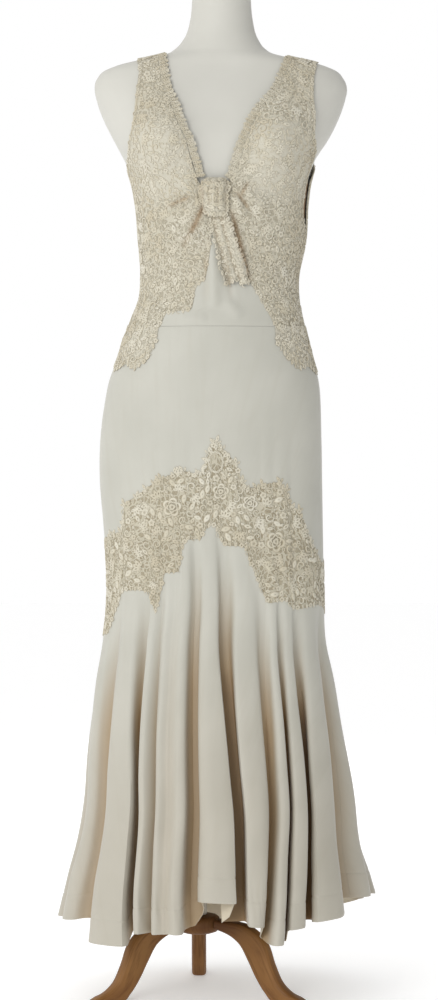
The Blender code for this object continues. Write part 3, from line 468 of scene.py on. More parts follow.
def crepe_finish():
    """Cream silk crepe: a fine pebbled grain, a soft sheen, and painted warm shade in the folds."""
    shade = Shade("silk_crepe")
    grain = shade.noise(shade.cloth(), 1400.0, 2.0, 0.6)
    weft, warp = shade.cloth(0.0, 1.0), shade.cloth(1.0, 0.0)
    rib = shade.noise(weft, 900.0, 1.0) + shade.noise(warp, 1100.0, 1.0)
    slub = shade.noise(shade.cloth(1.0, 0.08), 70.0, 3.0)
    blotch = shade.noise(shade.cloth(), 9.0, 3.0)
    fold = shade.attribute("fold")
    colour = shade.mix((0.455, 0.448, 0.392), (0.490, 0.482, 0.425), blotch.ramp(0.35, 0.65))
    colour = shade.mix(colour, (0.425, 0.408, 0.342), slub.ramp(0.50, 0.78) * 0.30)
    # Painted shade: warm brown, then deep brown, by how deep in a fold or tuck a place lies
    colour = shade.mix(colour, (0.305, 0.200, 0.092), fold.ramp(0.0, 0.85))
    colour = shade.mix(colour, (0.115, 0.057, 0.018), fold.ramp(0.72, 1.0))
    # Painted light: the inner face is lighter and warmer, as if light shone through the thin crepe
    colour = shade.mix(colour, (0.640, 0.570, 0.440), shade.attribute("inside"))
    height = grain * 0.6 + rib * 0.4 + slub * 0.5
    return shade.surface(
        Base_Color=colour, Roughness=0.50 + grain * 0.16, Sheen_Weight=0.25, Sheen_Roughness=0.4,
        Normal=shade.bump(height, 0.35, 0.0004),
    )


def net_finish():
    """Ground of the lace: fine net with thicker bars, cut open between them, and a lining behind the cups."""
    shade = Shade("lace_net")
    mesh = shade.cells(shade.cloth(), 420.0, "DISTANCE_TO_EDGE", 0.35)
    bars = shade.cells(shade.cloth(), 105.0, "DISTANCE_TO_EDGE", 0.9)
    thread = 1.0 - mesh.ramp(0.10, 0.22)
    bar = 1.0 - bars.ramp(0.07, 0.15)
    lined = shade.attribute("lining")
    tone = shade.noise(shade.cloth(), 30.0, 2.0)
    colour = shade.mix((0.375, 0.325, 0.225), (0.450, 0.405, 0.300), tone.ramp(0.3, 0.7))
    colour = shade.mix(colour, (0.530, 0.495, 0.395), bar * 0.8)
    colour = shade.mix(colour, (0.560, 0.532, 0.445), lined * 0.9)
    # Painted shade in the tucks, in the knot's pleats and between the tail's waves
    colour = shade.mix(colour, (0.235, 0.145, 0.062), shade.attribute("fold"))
    cover = (thread * 0.40 + 0.60).larger(bar).larger(lined)
    return shade.surface(
        Base_Color=colour, Roughness=0.8, Alpha=cover,
        Normal=shade.bump(thread * 0.4 + bar, 0.6, 0.0006),
    )


def motif_finish():
    """Padded flowers, leaves and cords of the lace, in soft twisted cotton."""
    shade = Shade("lace_cord")
    twist = shade.noise(shade.cloth(), 900.0, 3.0, 0.65)
    age = shade.noise(shade.node("TexCoord", output="Object"), 14.0, 3.0)
    colour = shade.mix((0.550, 0.508, 0.395), (0.635, 0.602, 0.500), shade.attribute("tone"))
    colour = shade.mix(colour, (0.470, 0.405, 0.280), age.ramp(0.48, 0.66) * 0.45)
    colour = shade.mix(colour, (0.650, 0.625, 0.540), (1.0 - age.ramp(0.34, 0.50)) * 0.45)
    # Painted shade round the low rim and in the hollow of each padded motif, where it meets the net
    colour = shade.mix(colour, (0.375, 0.322, 0.222), 1.0 - shade.attribute("crown"))
    # Painted shade in the tucks that run out from the knot
    colour = shade.mix(colour, (0.280, 0.175, 0.080), shade.attribute("fold"))
    return shade.surface(
        Base_Color=colour, Roughness=0.78, Sheen_Weight=0.2, Sheen_Roughness=0.5,
        Normal=shade.bump(twist, 0.5, 0.0005),
    )


def tape_finish():
    """Tan woven tape behind the placket."""
    shade = Shade("woven_tape")
    rib = (shade.node("SeparateXYZ", values={"Vector": shade.cloth()}, output=1) * 5200.0).sine()
    colour = shade.mix((0.230, 0.145, 0.080), (0.330, 0.225, 0.135), rib * 0.5 + 0.5)
    return shade.surface(Base_Color=colour, Roughness=0.8, Normal=shade.bump(rib, 0.4, 0.0003))


def form_finish():
    """Stretched grey-white jersey over the form."""
    shade = Shade("form_jersey")
    place = shade.cloth()
    knit = shade.cells(place, 1500.0, "DISTANCE_TO_EDGE", 0.2)
    cloud = shade.noise(place, 7.0, 3.0)
    colour = shade.mix((0.530, 0.520, 0.470), (0.560, 0.550, 0.500), cloud.ramp(0.35, 0.65))
    return shade.surface(
        Base_Color=colour, Roughness=0.62, Sheen_Weight=0.15, Normal=shade.bump(knit, 0.12, 0.0003),
    )


def wood_finish():
    """Varnished bentwood with grain along the leg, and painted shade that darkens it towards the hub."""
    shade = Shade("varnished_wood")
    grain = shade.noise(shade.cloth(1.0, 0.05), 260.0, 4.0, 0.65)
    figure = shade.noise(shade.cloth(1.0, 0.18), 38.0, 3.0)
    painted_hub_shade = shade.attribute("fold")
    colour = shade.mix((0.165, 0.068, 0.020), (0.285, 0.140, 0.044), figure.ramp(0.3, 0.7))
    colour = shade.mix(colour, (0.095, 0.032, 0.010), grain.ramp(0.48, 0.72) * 0.7)
    # Painted shade towards the hub, under the skirt
    colour = shade.mix(colour, (0.050, 0.013, 0.005), painted_hub_shade)
    return shade.surface(
        Base_Color=colour, Roughness=0.46 + grain * 0.14, Coat_Weight=0.06, Coat_Roughness=0.25,
        Specular_IOR_Level=0.2, Normal=shade.bump(grain, 0.15, 0.0003),
    )


def steel_finish():
    """Satin steel tube, brushed along its length."""
    shade = Shade("satin_steel")
    brush = shade.noise(shade.cloth(1.0, 0.02), 900.0, 2.0)
    colour = shade.mix((0.240, 0.212, 0.168), (0.330, 0.296, 0.240), brush)
    return shade.surface(Base_Color=colour, Metallic=1.0, Roughness=0.28 + brush * 0.15)


def floor_finish():
    """Pale matt paper sweep."""
    shade = Shade("paper_sweep")
    place = shade.node("TexCoord", output="Object")
    colour = shade.mix((0.86, 0.86, 0.86), (0.88, 0.88, 0.88), shade.noise(place, 3.0, 2.0))
    return shade.surface(
        Base_Color=colour, Roughness=0.9, Emission_Color=(1.0, 1.0, 1.0), Emission_Strength=0.32,
    )


# The gown's surface


def curve_between(start, end, slope, end_slope, s):
    """Value at a share s of the way between two others, on a smooth curve with a slope at each of them."""
    value = start * (1 + 2 * s) * (1 - s) ** 2 + end * s * s * (3 - 2 * s)
    return value + slope * s * (1 - s) ** 2 + end_slope * s * s * (s - 1)


def smooth_rows(table, height):
    """Row of a section table at any height, through a smooth curve. The table runs down from the top."""
    rows = np.array(table[::-1])
    levels = rows[:, 0]
    height = np.clip(np.asarray(height, float), levels[0], levels[-1])
    low = np.clip(np.searchsorted(levels, height, side="right") - 1, 0, len(levels) - 2)
    slopes = np.gradient(rows[:, 1:], levels, axis=0)
    step = (levels[low + 1] - levels[low])[..., None]
    s = (height[..., None] - levels[low][..., None]) / step
    value = curve_between(rows[low, 1:], rows[low + 1, 1:], slopes[low] * step, slopes[low + 1] * step, s)
    return np.moveaxis(value, -1, 0)


def ease_in(value, low, high):
    """0 at low, 1 at high, with a smooth start and end."""
    share = np.clip((value - low) / (high - low), 0, 1)
    return share * share * (3 - 2 * share)


def bust_projection(x, height, side_share):
    """How far the padded bust stands out, fading to nothing at the form's sides."""
    total = 0.0
    for centre_x, centre, projection, width, up, down in BUST:
        reach = np.where(height > centre, up, down)
        total = total + projection * np.exp(-((x - centre_x) / width) ** 2 - ((height - centre) / reach) ** 2)
    return total * (1 - np.clip(side_share, 0, 1) ** 3)


def face_depth(x, height, side):
    """Depth y of the form's skin at a place seen from the front (side -1) or from behind (1)."""
    centre, half, front, back, power = smooth_rows(FIGURE, height)
    share = np.clip(np.abs(x - centre) / half, 0, 1)
    roundness = (1 - share ** power) ** (1 / power)
    if side > 0:
        return back * roundness
    return -front * roundness - bust_projection(x, height, share)


def figure_points(azimuth, height):
    """Places on the form's skin, found by halving the ray from its core."""
    core_height = np.minimum(height, CORE_TOP)
    turn = np.maximum(height - CORE_TOP, 0.0) / TURN_RADIUS
    middle_x = smooth_rows(FIGURE, core_height)[0]
    angle = np.radians(azimuth)
    core = np.stack([middle_x, np.zeros_like(middle_x), core_height], -1)
    ray = np.stack([np.sin(angle) * np.cos(turn), -np.cos(angle) * np.cos(turn), np.sin(turn)], -1)
    near, far = np.zeros(height.shape), np.full(height.shape, 0.40)
    for _ in range(24):
        middle = (near + far) / 2
        x, y, z = np.moveaxis(core + ray * middle[..., None], -1, 0)
        centre, half, front, back, power = smooth_rows(FIGURE, z)
        share = np.abs(x - centre) / half
        padded = np.where(y < 0, np.minimum(y + bust_projection(x, z, share), 0.0), y)
        depth = np.where(y < 0, front, back)
        inside = share ** power + (np.abs(padded) / depth) ** power < 1
        near, far = np.where(inside, middle, near), np.where(inside, far, middle)
    return core + ray * near[..., None]


def section_radius(sine, cosine, half, depth, power):
    """Radius of a squared oval in a direction."""
    return ((np.abs(sine) / half) ** power + (np.abs(cosine) / depth) ** power) ** (-1 / power)


def hung_point(azimuth, height):
    """Outer face of the skirt that hangs free, over its ridges."""
    centre, half, front, back, power = smooth_rows(SKIRT, height)
    angle = np.radians(azimuth)
    sine, cosine = np.sin(angle), np.cos(angle)
    radius = section_radius(sine, cosine, half, np.where(cosine > 0, front, back), power)
    return np.stack([centre + radius * sine, -radius * cosine, height], -1)


def edge_height(edge, azimuth):
    """Height of a seam or hem that is a table over the azimuth."""
    angles, heights = zip(*edge)
    return np.interp(azimuth, angles, heights)


def wrapped(azimuth):
    """Azimuth between -180 and 180 degrees."""
    return (azimuth + 180) % 360 - 180


# The valleys all the way round: the last one comes again before the first, and the first after the last
ONE_TURN = np.array((360.0, 360.0, 0.0))
AT_LACE, AT_HEM, VALLEY_DEPTH = np.array([VALLEYS[-1] - ONE_TURN, *VALLEYS, VALLEYS[0] + ONE_TURN]).T


def flute_share(azimuth):
    """Depth at the hem and share of it, 1 in a valley and 0 on a ridge, by the azimuth at the lace; then the
    flute's own share, from valley to valley, and the number of the valley before it."""
    left = np.clip(np.searchsorted(AT_LACE, azimuth, side="right") - 1, 0, len(AT_LACE) - 2)
    share = (azimuth - AT_LACE[left]) / (AT_LACE[left + 1] - AT_LACE[left])
    ridge = (0.5 - 0.5 * np.cos(2 * math.pi * share)) ** 0.6
    return VALLEY_DEPTH[left] * (1 - share) + VALLEY_DEPTH[left + 1] * share, 1 - ridge, share, left


def line_field(lines, x, height):
    """Rounded ridges between the ends of lines that are seen from the front, as a rise at each place."""
    total = np.zeros_like(x)
    for start_x, start_height, end_x, end_height, top, width in lines:
        run_x, run_height = end_x - start_x, end_height - start_height
        length = math.hypot(run_x, run_height)
        along = ((x - start_x) * run_x + (height - start_height) * run_height) / length ** 2
        off = ((x - start_x) * run_height - (height - start_height) * run_x) / length
        fade = np.clip(1.15 - np.abs(2 * along - 1) ** 3, 0, 1) * (np.abs(2 * along - 1) < 1.05)
        total = total + top * fade * np.exp(-(off / width) ** 2)
    return total


def ripple(azimuth, height):
    """Soft hollows that run up from the flutes' valleys over the lace and the hips."""
    depth, share, _, _ = flute_share(azimuth)
    return -0.045 * depth * share ** 1.3 * (1 - ease_in(height, 0.66, 0.99))


def unit_normals(points):
    """Unit normals of a grid of points, rows by columns."""
    normal = np.cross(np.gradient(points, axis=1), np.gradient(points, axis=0))
    return normal / np.linalg.norm(normal, axis=-1, keepdims=True)


def between(grid, u, v):
    """Values of a grid between its points, at places that are counted in columns and rows."""
    column = np.clip(u.astype(int), 0, grid.shape[1] - 2)
    row = np.clip(v.astype(int), 0, grid.shape[0] - 2)
    u, v = (u - column)[..., None], np.clip(v - row, 0, 1)[..., None]
    low = grid[row, column] * (1 - u) + grid[row, column + 1] * u
    high = grid[row + 1, column] * (1 - u) + grid[row + 1, column + 1] * u
    return low * (1 - v) + high * v


class Cloth:
    """The gown's outer face above the flutes, as a fine grid that is read at any azimuth and height."""

    def __init__(self):
        azimuth = np.arange(-180.0 - CHART_LAP, 180.1 + CHART_LAP, CHART_TURN)
        height = np.arange(CHART_LOW, CHART_HIGH, CHART_RISE)
        levels, back = np.unique(np.maximum(height, HUNG_BELOW), return_inverse=True)
        angle, level = np.meshgrid(azimuth, levels)
        worn = figure_points(angle, level)
        clear = (EASE + CLOTH_WALL) * (1 - 0.62 * ease_in(level, 1.39, 1.46))
        worn = worn + clear[..., None] * unit_normals(worn)
        x, y, z = np.moveaxis(worn, -1, 0)
        rise = np.where(y < 0, line_field(CREASES, x, z) - line_field(TUCKS, x, z), 0.0)
        radial = worn * (1, 1, 0)
        radial = radial / np.linalg.norm(radial, axis=-1, keepdims=True)
        worn = (worn + rise[..., None] * radial)[back]
        angle, level = np.meshgrid(azimuth, height)
        hung = hung_point(angle, np.minimum(level, WORN_ABOVE))
        share = ease_in(level, HUNG_BELOW, WORN_ABOVE)[..., None]
        points = hung * (1 - share) + worn * share
        normals = unit_normals(points)
        self.points = points + normals * ripple(angle, level)[..., None]
        self.normals = unit_normals(self.points)

    def read(self, grid, azimuth, height):
        """Value of a grid at a place."""
        u = ((azimuth + 180.0) % 360.0 + CHART_LAP) / CHART_TURN
        return between(grid, u, (height - CHART_LOW) / CHART_RISE)

    def at(self, azimuth, height, lift=0.0):
        """Point at a height above the face."""
        azimuth, height = np.broadcast_arrays(np.asarray(azimuth, float), np.asarray(height, float))
        point = self.read(self.points, azimuth, height)
        return point + self.read(self.normals, azimuth, height) * np.asarray(lift)[..., None]

    def faces(self, azimuth, height, lift, wall):
        """Outer and inner face of a wall whose outer face lies at a height above the gown's."""
        return self.at(azimuth, height, lift), self.at(azimuth, height, lift - wall)

    def normal(self, azimuth, height):
        """Unit normal at a place."""
        return self.read(self.normals, azimuth, height)

    def move(self, azimuth, height, right, up):
        """Azimuths and heights of places that lie right and up, in metres along the cloth, of given ones."""
        turn, step = 0.4, 0.003
        across = (self.at(azimuth + turn, height) - self.at(azimuth - turn, height)) / (2 * turn)
        along = (self.at(azimuth, height + step) - self.at(azimuth, height - step)) / (2 * step)
        width = np.linalg.norm(across, axis=-1)
        east = across / width[..., None]
        north = np.cross(self.normal(azimuth, height), east)
        rise = up / np.sum(along * north, -1)
        return azimuth + (right - rise * np.sum(along * east, -1)) / width, height + rise


cloth = Cloth()


def front_place(x, height, side=-1):
    """Azimuth and height along the gown of places seen from the front (side -1) or from behind (1)."""
    x, height = np.broadcast_arrays(np.asarray(x, float), np.asarray(height, float))
    y = face_depth(x, height, side)
    centre = smooth_rows(FIGURE, np.minimum(height, CORE_TOP))[0]
    turn = np.arctan2(np.maximum(height - CORE_TOP, 0.0), np.hypot(x - centre, y))
    azimuth = np.degrees(np.arctan2(x - centre, -y))
    return azimuth, np.where(height > CORE_TOP, CORE_TOP + turn * TURN_RADIUS, height)


def shoulder_place(x, side=-1):
    """Azimuth and height along the gown of the shoulder seam at an x."""
    levels = np.linspace(SHOULDER_LOW, SHOULDER_HIGH, 200)
    centre, half = smooth_rows(FIGURE, levels)[:2]
    reach = centre + math.copysign(1, x) * half
    order = np.argsort(reach)
    height = float(np.interp(x, reach[order], levels[order]))
    core = float(smooth_rows(FIGURE, CORE_TOP)[0])
    turn = math.atan2(height - CORE_TOP, abs(x - core))
    return math.copysign(90 + side * seam_degrees(), x), CORE_TOP + turn * TURN_RADIUS


def seam_degrees(radius=BODICE_RADIUS):
    """Half a seam's gap as an azimuth."""
    return math.degrees(SEAM_GAP / 2 / radius)


def bodice_edges(table, side):
    """Inner and outer edge of a bodice panel as azimuths and heights. Side is -1 in front and 1 behind."""
    result = []
    hand = -1 if table[-1][0] < 0 else 1
    gap = seam_degrees()
    side_seam = LEFT_SEAM if hand < 0 else RIGHT_SEAM
    for inner_x, inner_height, outer_x, outer_height in table:
        if inner_height is None:
            inner = shoulder_place(inner_x, side)
        elif inner_x is None:
            inner = (hand * (180.0 - gap), inner_height)
        else:
            inner = front_place(inner_x, inner_height, side)
        if outer_height is None:
            outer = shoulder_place(outer_x, side)
        elif outer_x is None:
            levels, widths = zip(*PLACKET_OPENING)
            slit = np.interp(outer_height, levels, widths, left=0.0) if hand > 0 else 0.0
            slit = slit * (PLACKET_PULL if side < 0 else 1.0)
            outer = (side_seam + side * hand * (gap + slit), outer_height)
        else:
            outer = front_place(outer_x, outer_height, side)
        result.append([float(value) for value in (*inner, *outer)])
    rows = np.array(result)
    rows[0, 1] += SEAM_GAP / 2
    rows[0, 3] += SEAM_GAP / 2
    return rows


def smooth_path(rows, place):
    """Rows of a table at places between them, on a smooth path that doesn't overshoot them."""
    steps = np.diff(rows, axis=0)
    both = steps[1:] * steps[:-1]
    inner = np.where(both > 0, 2 * both / np.where(both > 0, steps[1:] + steps[:-1], 1.0), 0.0)
    slopes = np.vstack([steps[:1], inner, steps[-1:]])
    low = np.clip(place.astype(int), 0, len(rows) - 2)
    s = (place - low)[:, None]
    return curve_between(rows[low], rows[low + 1], slopes[low], slopes[low + 1], s)


def run_along(points):
    """Distance of each point of a line from its first one, along the line."""
    return np.concatenate([[0.0], np.cumsum(np.linalg.norm(np.diff(points, axis=0), axis=1))])


def even_path(rows, last, step=None, shares=None):
    """Rows up to the last one, in even steps along the edges that they hold, or at shares of them."""
    fine = np.linspace(0, last, 400)
    path = smooth_path(rows, fine)
    edges = range(0, rows.shape[1], 2)
    run = np.mean([run_along(cloth.at(path[:, k], path[:, k + 1])) for k in edges], axis=0)
    shares = stepped(run[-1], step) if shares is None else shares
    return smooth_path(rows, np.interp(shares * run[-1], run, fine))


def stepped(length, step, rim=(0.0, 0.0009, 0.0020, 0.0036)):
    """Shares of a length in even steps, with closer ones at both ends."""
    count = max(2, round((length - 2 * rim[-1]) / step))
    inner = np.linspace(rim[-1], length - rim[-1], count + 1)[1:-1]
    return np.concatenate([rim, inner, length - np.array(rim[::-1])]) / length


def ruled(rows, across):
    """Grids of azimuths and heights between the first and the second edge of a table of places."""
    share = across[None, :]
    return [rows[:, k:k + 1] * (1 - share) + rows[:, k + 2:k + 3] * share for k in (0, 1)]


def drawn_in(rows, distance):
    """Both edges of a table of places, each moved towards the other."""
    width = np.linalg.norm(cloth.at(rows[:, 0], rows[:, 1]) - cloth.at(rows[:, 2], rows[:, 3]), axis=-1)
    share = (distance / width)[:, None]
    first, second = rows[:, :2], rows[:, 2:]
    return first * (1 - share) + second * share, second * (1 - share) + first * share


# Meshes


def build(name, points, faces, finish, uv, marks=(), sharp=40.0):
    """A piece from points and blocks of faces, with the cloth's own directions in metres and named values at
    its points."""
    data = bpy.data.meshes.new(name)
    blocks = [np.asarray(block) for block in faces]
    corners = np.concatenate([block.ravel() for block in blocks])
    sizes = np.concatenate([np.full(len(block), block.shape[1]) for block in blocks])
    data.vertices.add(len(points))
    data.vertices.foreach_set("co", np.asarray(points, np.float32).ravel())
    data.loops.add(len(corners))
    data.loops.foreach_set("vertex_index", corners.astype(np.int32))
    data.polygons.add(len(sizes))
    data.polygons.foreach_set("loop_start", np.concatenate([[0], np.cumsum(sizes)[:-1]]).astype(np.int32))
    data.update(calc_edges=True)
    layer = data.uv_layers.new(name="cloth")
    layer.data.foreach_set("uv", np.asarray(uv, np.float32)[corners].ravel())
    for mark, values in dict(marks).items():
        values = np.asarray(values, np.float32).ravel()
        data.attributes.new(mark, "FLOAT", "POINT").data.foreach_set("value", values)
    data.shade_smooth()
    data.set_sharp_from_angle(angle=math.radians(sharp))
    data.materials.append(finish)
    piece = bpy.data.objects.new(name, data)
    bpy.context.scene.collection.objects.link(piece)
    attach(piece, "root")
    return piece


def cells(index):
    """Four-cornered faces between the points of a grid of their numbers."""
    return np.stack([index[:-1, :-1], index[:-1, 1:], index[1:, 1:], index[1:, :-1]], -1).reshape(-1, 4)


def lengths_across(points):
    """Distance along the rows and down the columns of a grid, from its middle column and its first row."""
    across = np.linalg.norm(np.diff(points, axis=1), axis=-1)
    across = np.hstack([np.zeros((len(points), 1)), np.cumsum(across, axis=1)])
    down = np.linalg.norm(np.diff(points, axis=0), axis=-1)
    down = np.vstack([np.zeros((1, points.shape[1])), np.cumsum(down, axis=0)])
    return across - across[:, points.shape[1] // 2][:, None], down


def cut_size(points):
    """Width and length, and area, of the flat cut that a grid of points was before it was hung."""
    across, down = lengths_across(points)
    width, length = np.ptp(across, axis=1).max(), down[-1].max()
    first, second = points[1:, 1:] - points[:-1, :-1], points[1:, :-1] - points[:-1, 1:]
    area = np.linalg.norm(np.cross(first, second), axis=-1).sum() / 2
    return (float(width), float(length)), float(area)


def shell(name, outer, inner, fabric, marks=()):
    """A closed thin wall between two grids of points, rows by columns. A mark is one value or grid for both
    faces, or an outer and an inner one."""
    rows, columns = outer.shape[:2]
    front = np.arange(rows * columns).reshape(rows, columns)
    back = front + rows * columns
    faces = [cells(front), cells(back)[:, ::-1]]
    for a, b in ((front[0], back[0]), (front[::-1, 0], back[::-1, 0])):
        faces.append(np.stack([a[1:], a[:-1], b[:-1], b[1:]], -1))
    for a, b in ((front[-1], back[-1]), (front[::-1, -1], back[::-1, -1])):
        faces.append(np.stack([a[:-1], a[1:], b[1:], b[:-1]], -1))
    corner = outer[1, 1] - outer[0, 0], outer[1, 0] - outer[0, 1]
    if np.dot(np.cross(*corner), outer[0, 0] - inner[0, 0]) > 0:
        faces = [block[:, ::-1] for block in faces]
    uv = np.stack(lengths_across(outer), -1).reshape(-1, 2)
    named = {}
    for mark, values in dict(marks).items():
        sides = values if isinstance(values, tuple) else (values, values)
        named[mark] = np.concatenate([np.broadcast_to(value, (rows, columns)).ravel() for value in sides])
    points = np.concatenate([outer.reshape(-1, 3), inner.reshape(-1, 3)])
    return build(name, points, faces, fabric.finish, np.tile(uv, (2, 1)), named)


def rolled(across, down, width, length):
    """How far cloth sinks at its rims, where it is turned under and sewn."""
    sides = np.minimum(across, 1 - across)[None, :] * width
    ends = np.minimum(down, 1 - down)[:, None] * length
    return -0.0002 * np.exp(-(np.minimum(sides, ends) / 0.0014) ** 2)


def fold_shade(azimuth, height):
    """Warm shade in the tucks that run out from the knot."""
    x, y, z = np.moveaxis(cloth.at(azimuth, height), -1, 0)
    return np.where(y < 0, np.clip(line_field(TUCKS, x, z) / 0.0026, 0, 1) ** 1.5 * 0.75, 0.0)


def hang(name, node, faces, fabric, held, rests_on, marks=()):
    """A sheet of cloth between an outer and an inner face, which stands for a CAD node."""
    piece = shell(name, *faces, fabric, marks)
    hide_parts(node)
    flat, area = cut_size(faces[0])
    sheets.append((piece, flat, area, held, [rests_on], []))


def lay(name, node, azimuth, height, fabric, held, rests_on, lift=0.0, marks=()):
    """A sheet on the gown's face, at grids of azimuths and heights."""
    faces = cloth.faces(azimuth, height, np.broadcast_to(lift, height.shape), fabric.wall)
    hang(name, node, faces, fabric, held, rests_on, {"fold": fold_shade(azimuth, height), **dict(marks)})


# What each sheet says of itself, with the pieces that are sewn on it
sheets = []

Fabric = namedtuple("Fabric", "finish slot wall")
silk = Fabric(crepe_finish(), "crepe", CREPE)
net = Fabric(net_finish(), "lace", NET)
cord = motif_finish()


# Lace motifs


def ring_motif(radius, section):
    """Closed padded ring: its outline is radii around the middle, and its section is rows of share of the
    radius, lift and how high on the crown it is."""
    turns = np.arange(len(radius)) * 2 * math.pi / len(radius)
    points, crowns = [], []
    for share, lift, crown in section:
        reach = radius * share
        points.append(np.stack([reach * np.cos(turns), reach * np.sin(turns), np.full(len(turns), lift)], -1))
        crowns.append(np.full(len(turns), crown))
    index = np.arange(len(section) * len(turns)).reshape(len(section), -1)
    index = np.vstack([index, index[:1]])
    index = np.hstack([index, index[:, :1]])
    return np.concatenate(points), cells(index)[:, ::-1], np.concatenate(crowns)


def cord_motif(path, radius):
    """Closed cord along a flat path, thinner at its two ends."""
    path = np.asarray(path, float)
    along = np.gradient(path, axis=0)
    along = along / np.linalg.norm(along, axis=1, keepdims=True)
    side = np.stack([-along[:, 1], along[:, 0]], -1)
    thick = radius * (0.25 + 0.75 * np.sin(np.linspace(0.06, math.pi - 0.06, len(path))) ** 0.4)[:, None]
    points, crowns = [], []
    for off, lift, crown in ((-1.0, 0.0, 0.0), (-0.6, 1.0, 1.0), (0.6, 1.0, 1.0), (1.0, 0.0, 0.0)):
        points.append(np.hstack([path + side * thick * off, thick * 1.3 * lift]))
        crowns.append(np.full(len(path), crown))
    index = np.arange(4 * len(path)).reshape(4, -1)
    faces = cells(np.vstack([index, index[:1]]))[:, ::-1]
    ends = np.array([index[::-1, -1], index[:, 0]])
    return np.concatenate(points), np.vstack([faces, ends]), np.concatenate(crowns)


def joined(*motifs):
    """One motif from several, each a motif with where it goes: right, up, turn in degrees and lift."""
    points, faces, crowns, count = [], [], [], 0
    for (shape, quads, crown), right, up, turn, lift in motifs:
        c, s = math.cos(math.radians(turn)), math.sin(math.radians(turn))
        points.append(shape @ np.array([[c, s, 0], [-s, c, 0], [0, 0, 1]]) + (right, up, lift))
        faces.append(quads + count)
        crowns.append(crown)
        count += len(shape)
    return np.concatenate(points), np.vstack(faces), np.concatenate(crowns)


def lobes(count, petals, radius, dip):
    """Radii of a round with petals."""
    turns = np.arange(count) * 2 * math.pi / count
    return radius * (1 - dip + dip * np.abs(np.cos(turns * petals / 2)) ** 0.7)


def leaf_outline(count, half_length, half_width, point=1.4):
    """Radii of a leaf that is pointed at both ends."""
    turns = np.arange(count) * 2 * math.pi / count
    cosine, sine = np.abs(np.cos(turns)), np.abs(np.sin(turns))
    return ((cosine / half_length) ** point + (sine / half_width) ** point) ** (-1 / point)


def winding(start, end, count, radius, growth):
    """Flat path that winds outwards between two half turns, its radius growing with the turn."""
    turns = np.linspace(start * math.pi, end * math.pi, count)
    return np.stack([np.cos(turns), np.sin(turns)], -1) * (radius + growth * turns)[:, None]


# Sections of the motifs, from the rim inwards: share of the radius, lift, how high on the crown
PADDED = ((1.0, 0.0, 0.0), (0.84, 0.0011, 1.0), (0.44, 0.0009, 0.7), (0.20, 0.0004, 0.25))
FULL = ((1.0, 0.0, 0.0), (0.82, 0.0010, 0.9), (0.46, 0.0014, 1.0), (0.12, 0.0013, 0.9))
VEINED = ((1.0, 0.0, 0.0), (0.80, 0.0011, 1.0), (0.34, 0.0010, 0.9), (0.16, 0.0001, 0.1))
ROUND = ((1.0, 0.0, 0.0), (0.86, 0.0010, 1.0), (0.62, 0.0010, 1.0), (0.48, 0.0, 0.0))
SMALL = ((1.0, 0.0, 0.0), (0.78, 0.0011, 1.0), (0.18, 0.0012, 0.9))
PETAL = ((1.0, 0.0, 0.0), (0.90, 0.0014, 1.0), (0.74, 0.0012, 0.9), (0.66, 0.0001, 0.0))

floret = ring_motif(lobes(20, 5, 0.0060, 0.30), PADDED)
small_floret = ring_motif(lobes(16, 4, 0.0044, 0.28), PADDED)
leaf = ring_motif(leaf_outline(10, 0.0074, 0.0033), VEINED)
small_leaf = ring_motif(leaf_outline(8, 0.0050, 0.0024), VEINED)
eyelet = ring_motif(np.full(8, 0.0029), ROUND)
bead = ring_motif(np.full(6, 0.0017), SMALL)
curl = cord_motif(winding(0.0, 1.6, 10, 0.0018, 0.0011), 0.0009)
scroll = cord_motif(winding(0.35, 2.3, 15, 0.0, 0.0011), 0.0012)
hook_turns = np.linspace(0, 1.05 * math.pi, 7)
hook = cord_motif(np.stack([0.0026 * np.cos(hook_turns), 0.0021 * np.sin(hook_turns) - 0.001], -1), 0.0009)
petal = ring_motif(leaf_outline(8, 0.0036, 0.0022, 1.7), SMALL)
wisp_turns = np.linspace(-1, 1, 7)
wisp = cord_motif(np.stack([0.0036 * wisp_turns, 0.0014 * np.sin(wisp_turns * math.pi)], -1), 0.0008)
plump_leaf = ring_motif(leaf_outline(14, 0.0084, 0.0042, 1.6), FULL)
fan = joined(
    (leaf, 0.0070, 0.0, 0.0, 0.0),
    (leaf, 0.0058, 0.0040, 36.0, 0.0002),
    (leaf, 0.0058, -0.0040, -36.0, 0.0002),
    (small_leaf, 0.0012, 0.0058, 76.0, 0.0),
    (small_leaf, 0.0012, -0.0058, -76.0, 0.0),
    (bead, 0.0, 0.0, 0.0, 0.0004),
)
sprig = joined(
    (leaf, 0.0062, 0.0, 0.0, 0.0),
    (small_leaf, 0.0006, 0.0052, 52.0, 0.0),
    (small_leaf, 0.0006, -0.0052, -52.0, 0.0),
    (bead, -0.0040, 0.0, 0.0, 0.0),
)
rose = joined(
    (ring_motif(lobes(40, 5, 0.0138, 0.30), PETAL), 0.0, 0.0, 0.0, 0.0),
    (ring_motif(lobes(30, 5, 0.0088, 0.30), PETAL), 0.0005, 0.0003, 36.0, 0.0003),
    (ring_motif(lobes(18, 3, 0.0050, 0.26), PADDED), 0.0002, 0.0, 8.0, 0.0006),
)

# Each motif with the radius of the room that it takes
MOTIFS = {
    "rose": (rose, 0.0140), "fan": (fan, 0.0098), "plump_leaf": (plump_leaf, 0.0060),
    "scroll": (scroll, 0.0066), "wisp": (wisp, 0.0030), "hook": (hook, 0.0028), "petal": (petal, 0.0028),
    "sprig": (sprig, 0.0088), "floret": (floret, 0.0058), "leaf": (leaf, 0.0050), "curl": (curl, 0.0056),
    "small_floret": (small_floret, 0.0043), "small_leaf": (small_leaf, 0.0036), "eyelet": (eyelet, 0.0029),
    "bead": (bead, 0.0018),
}


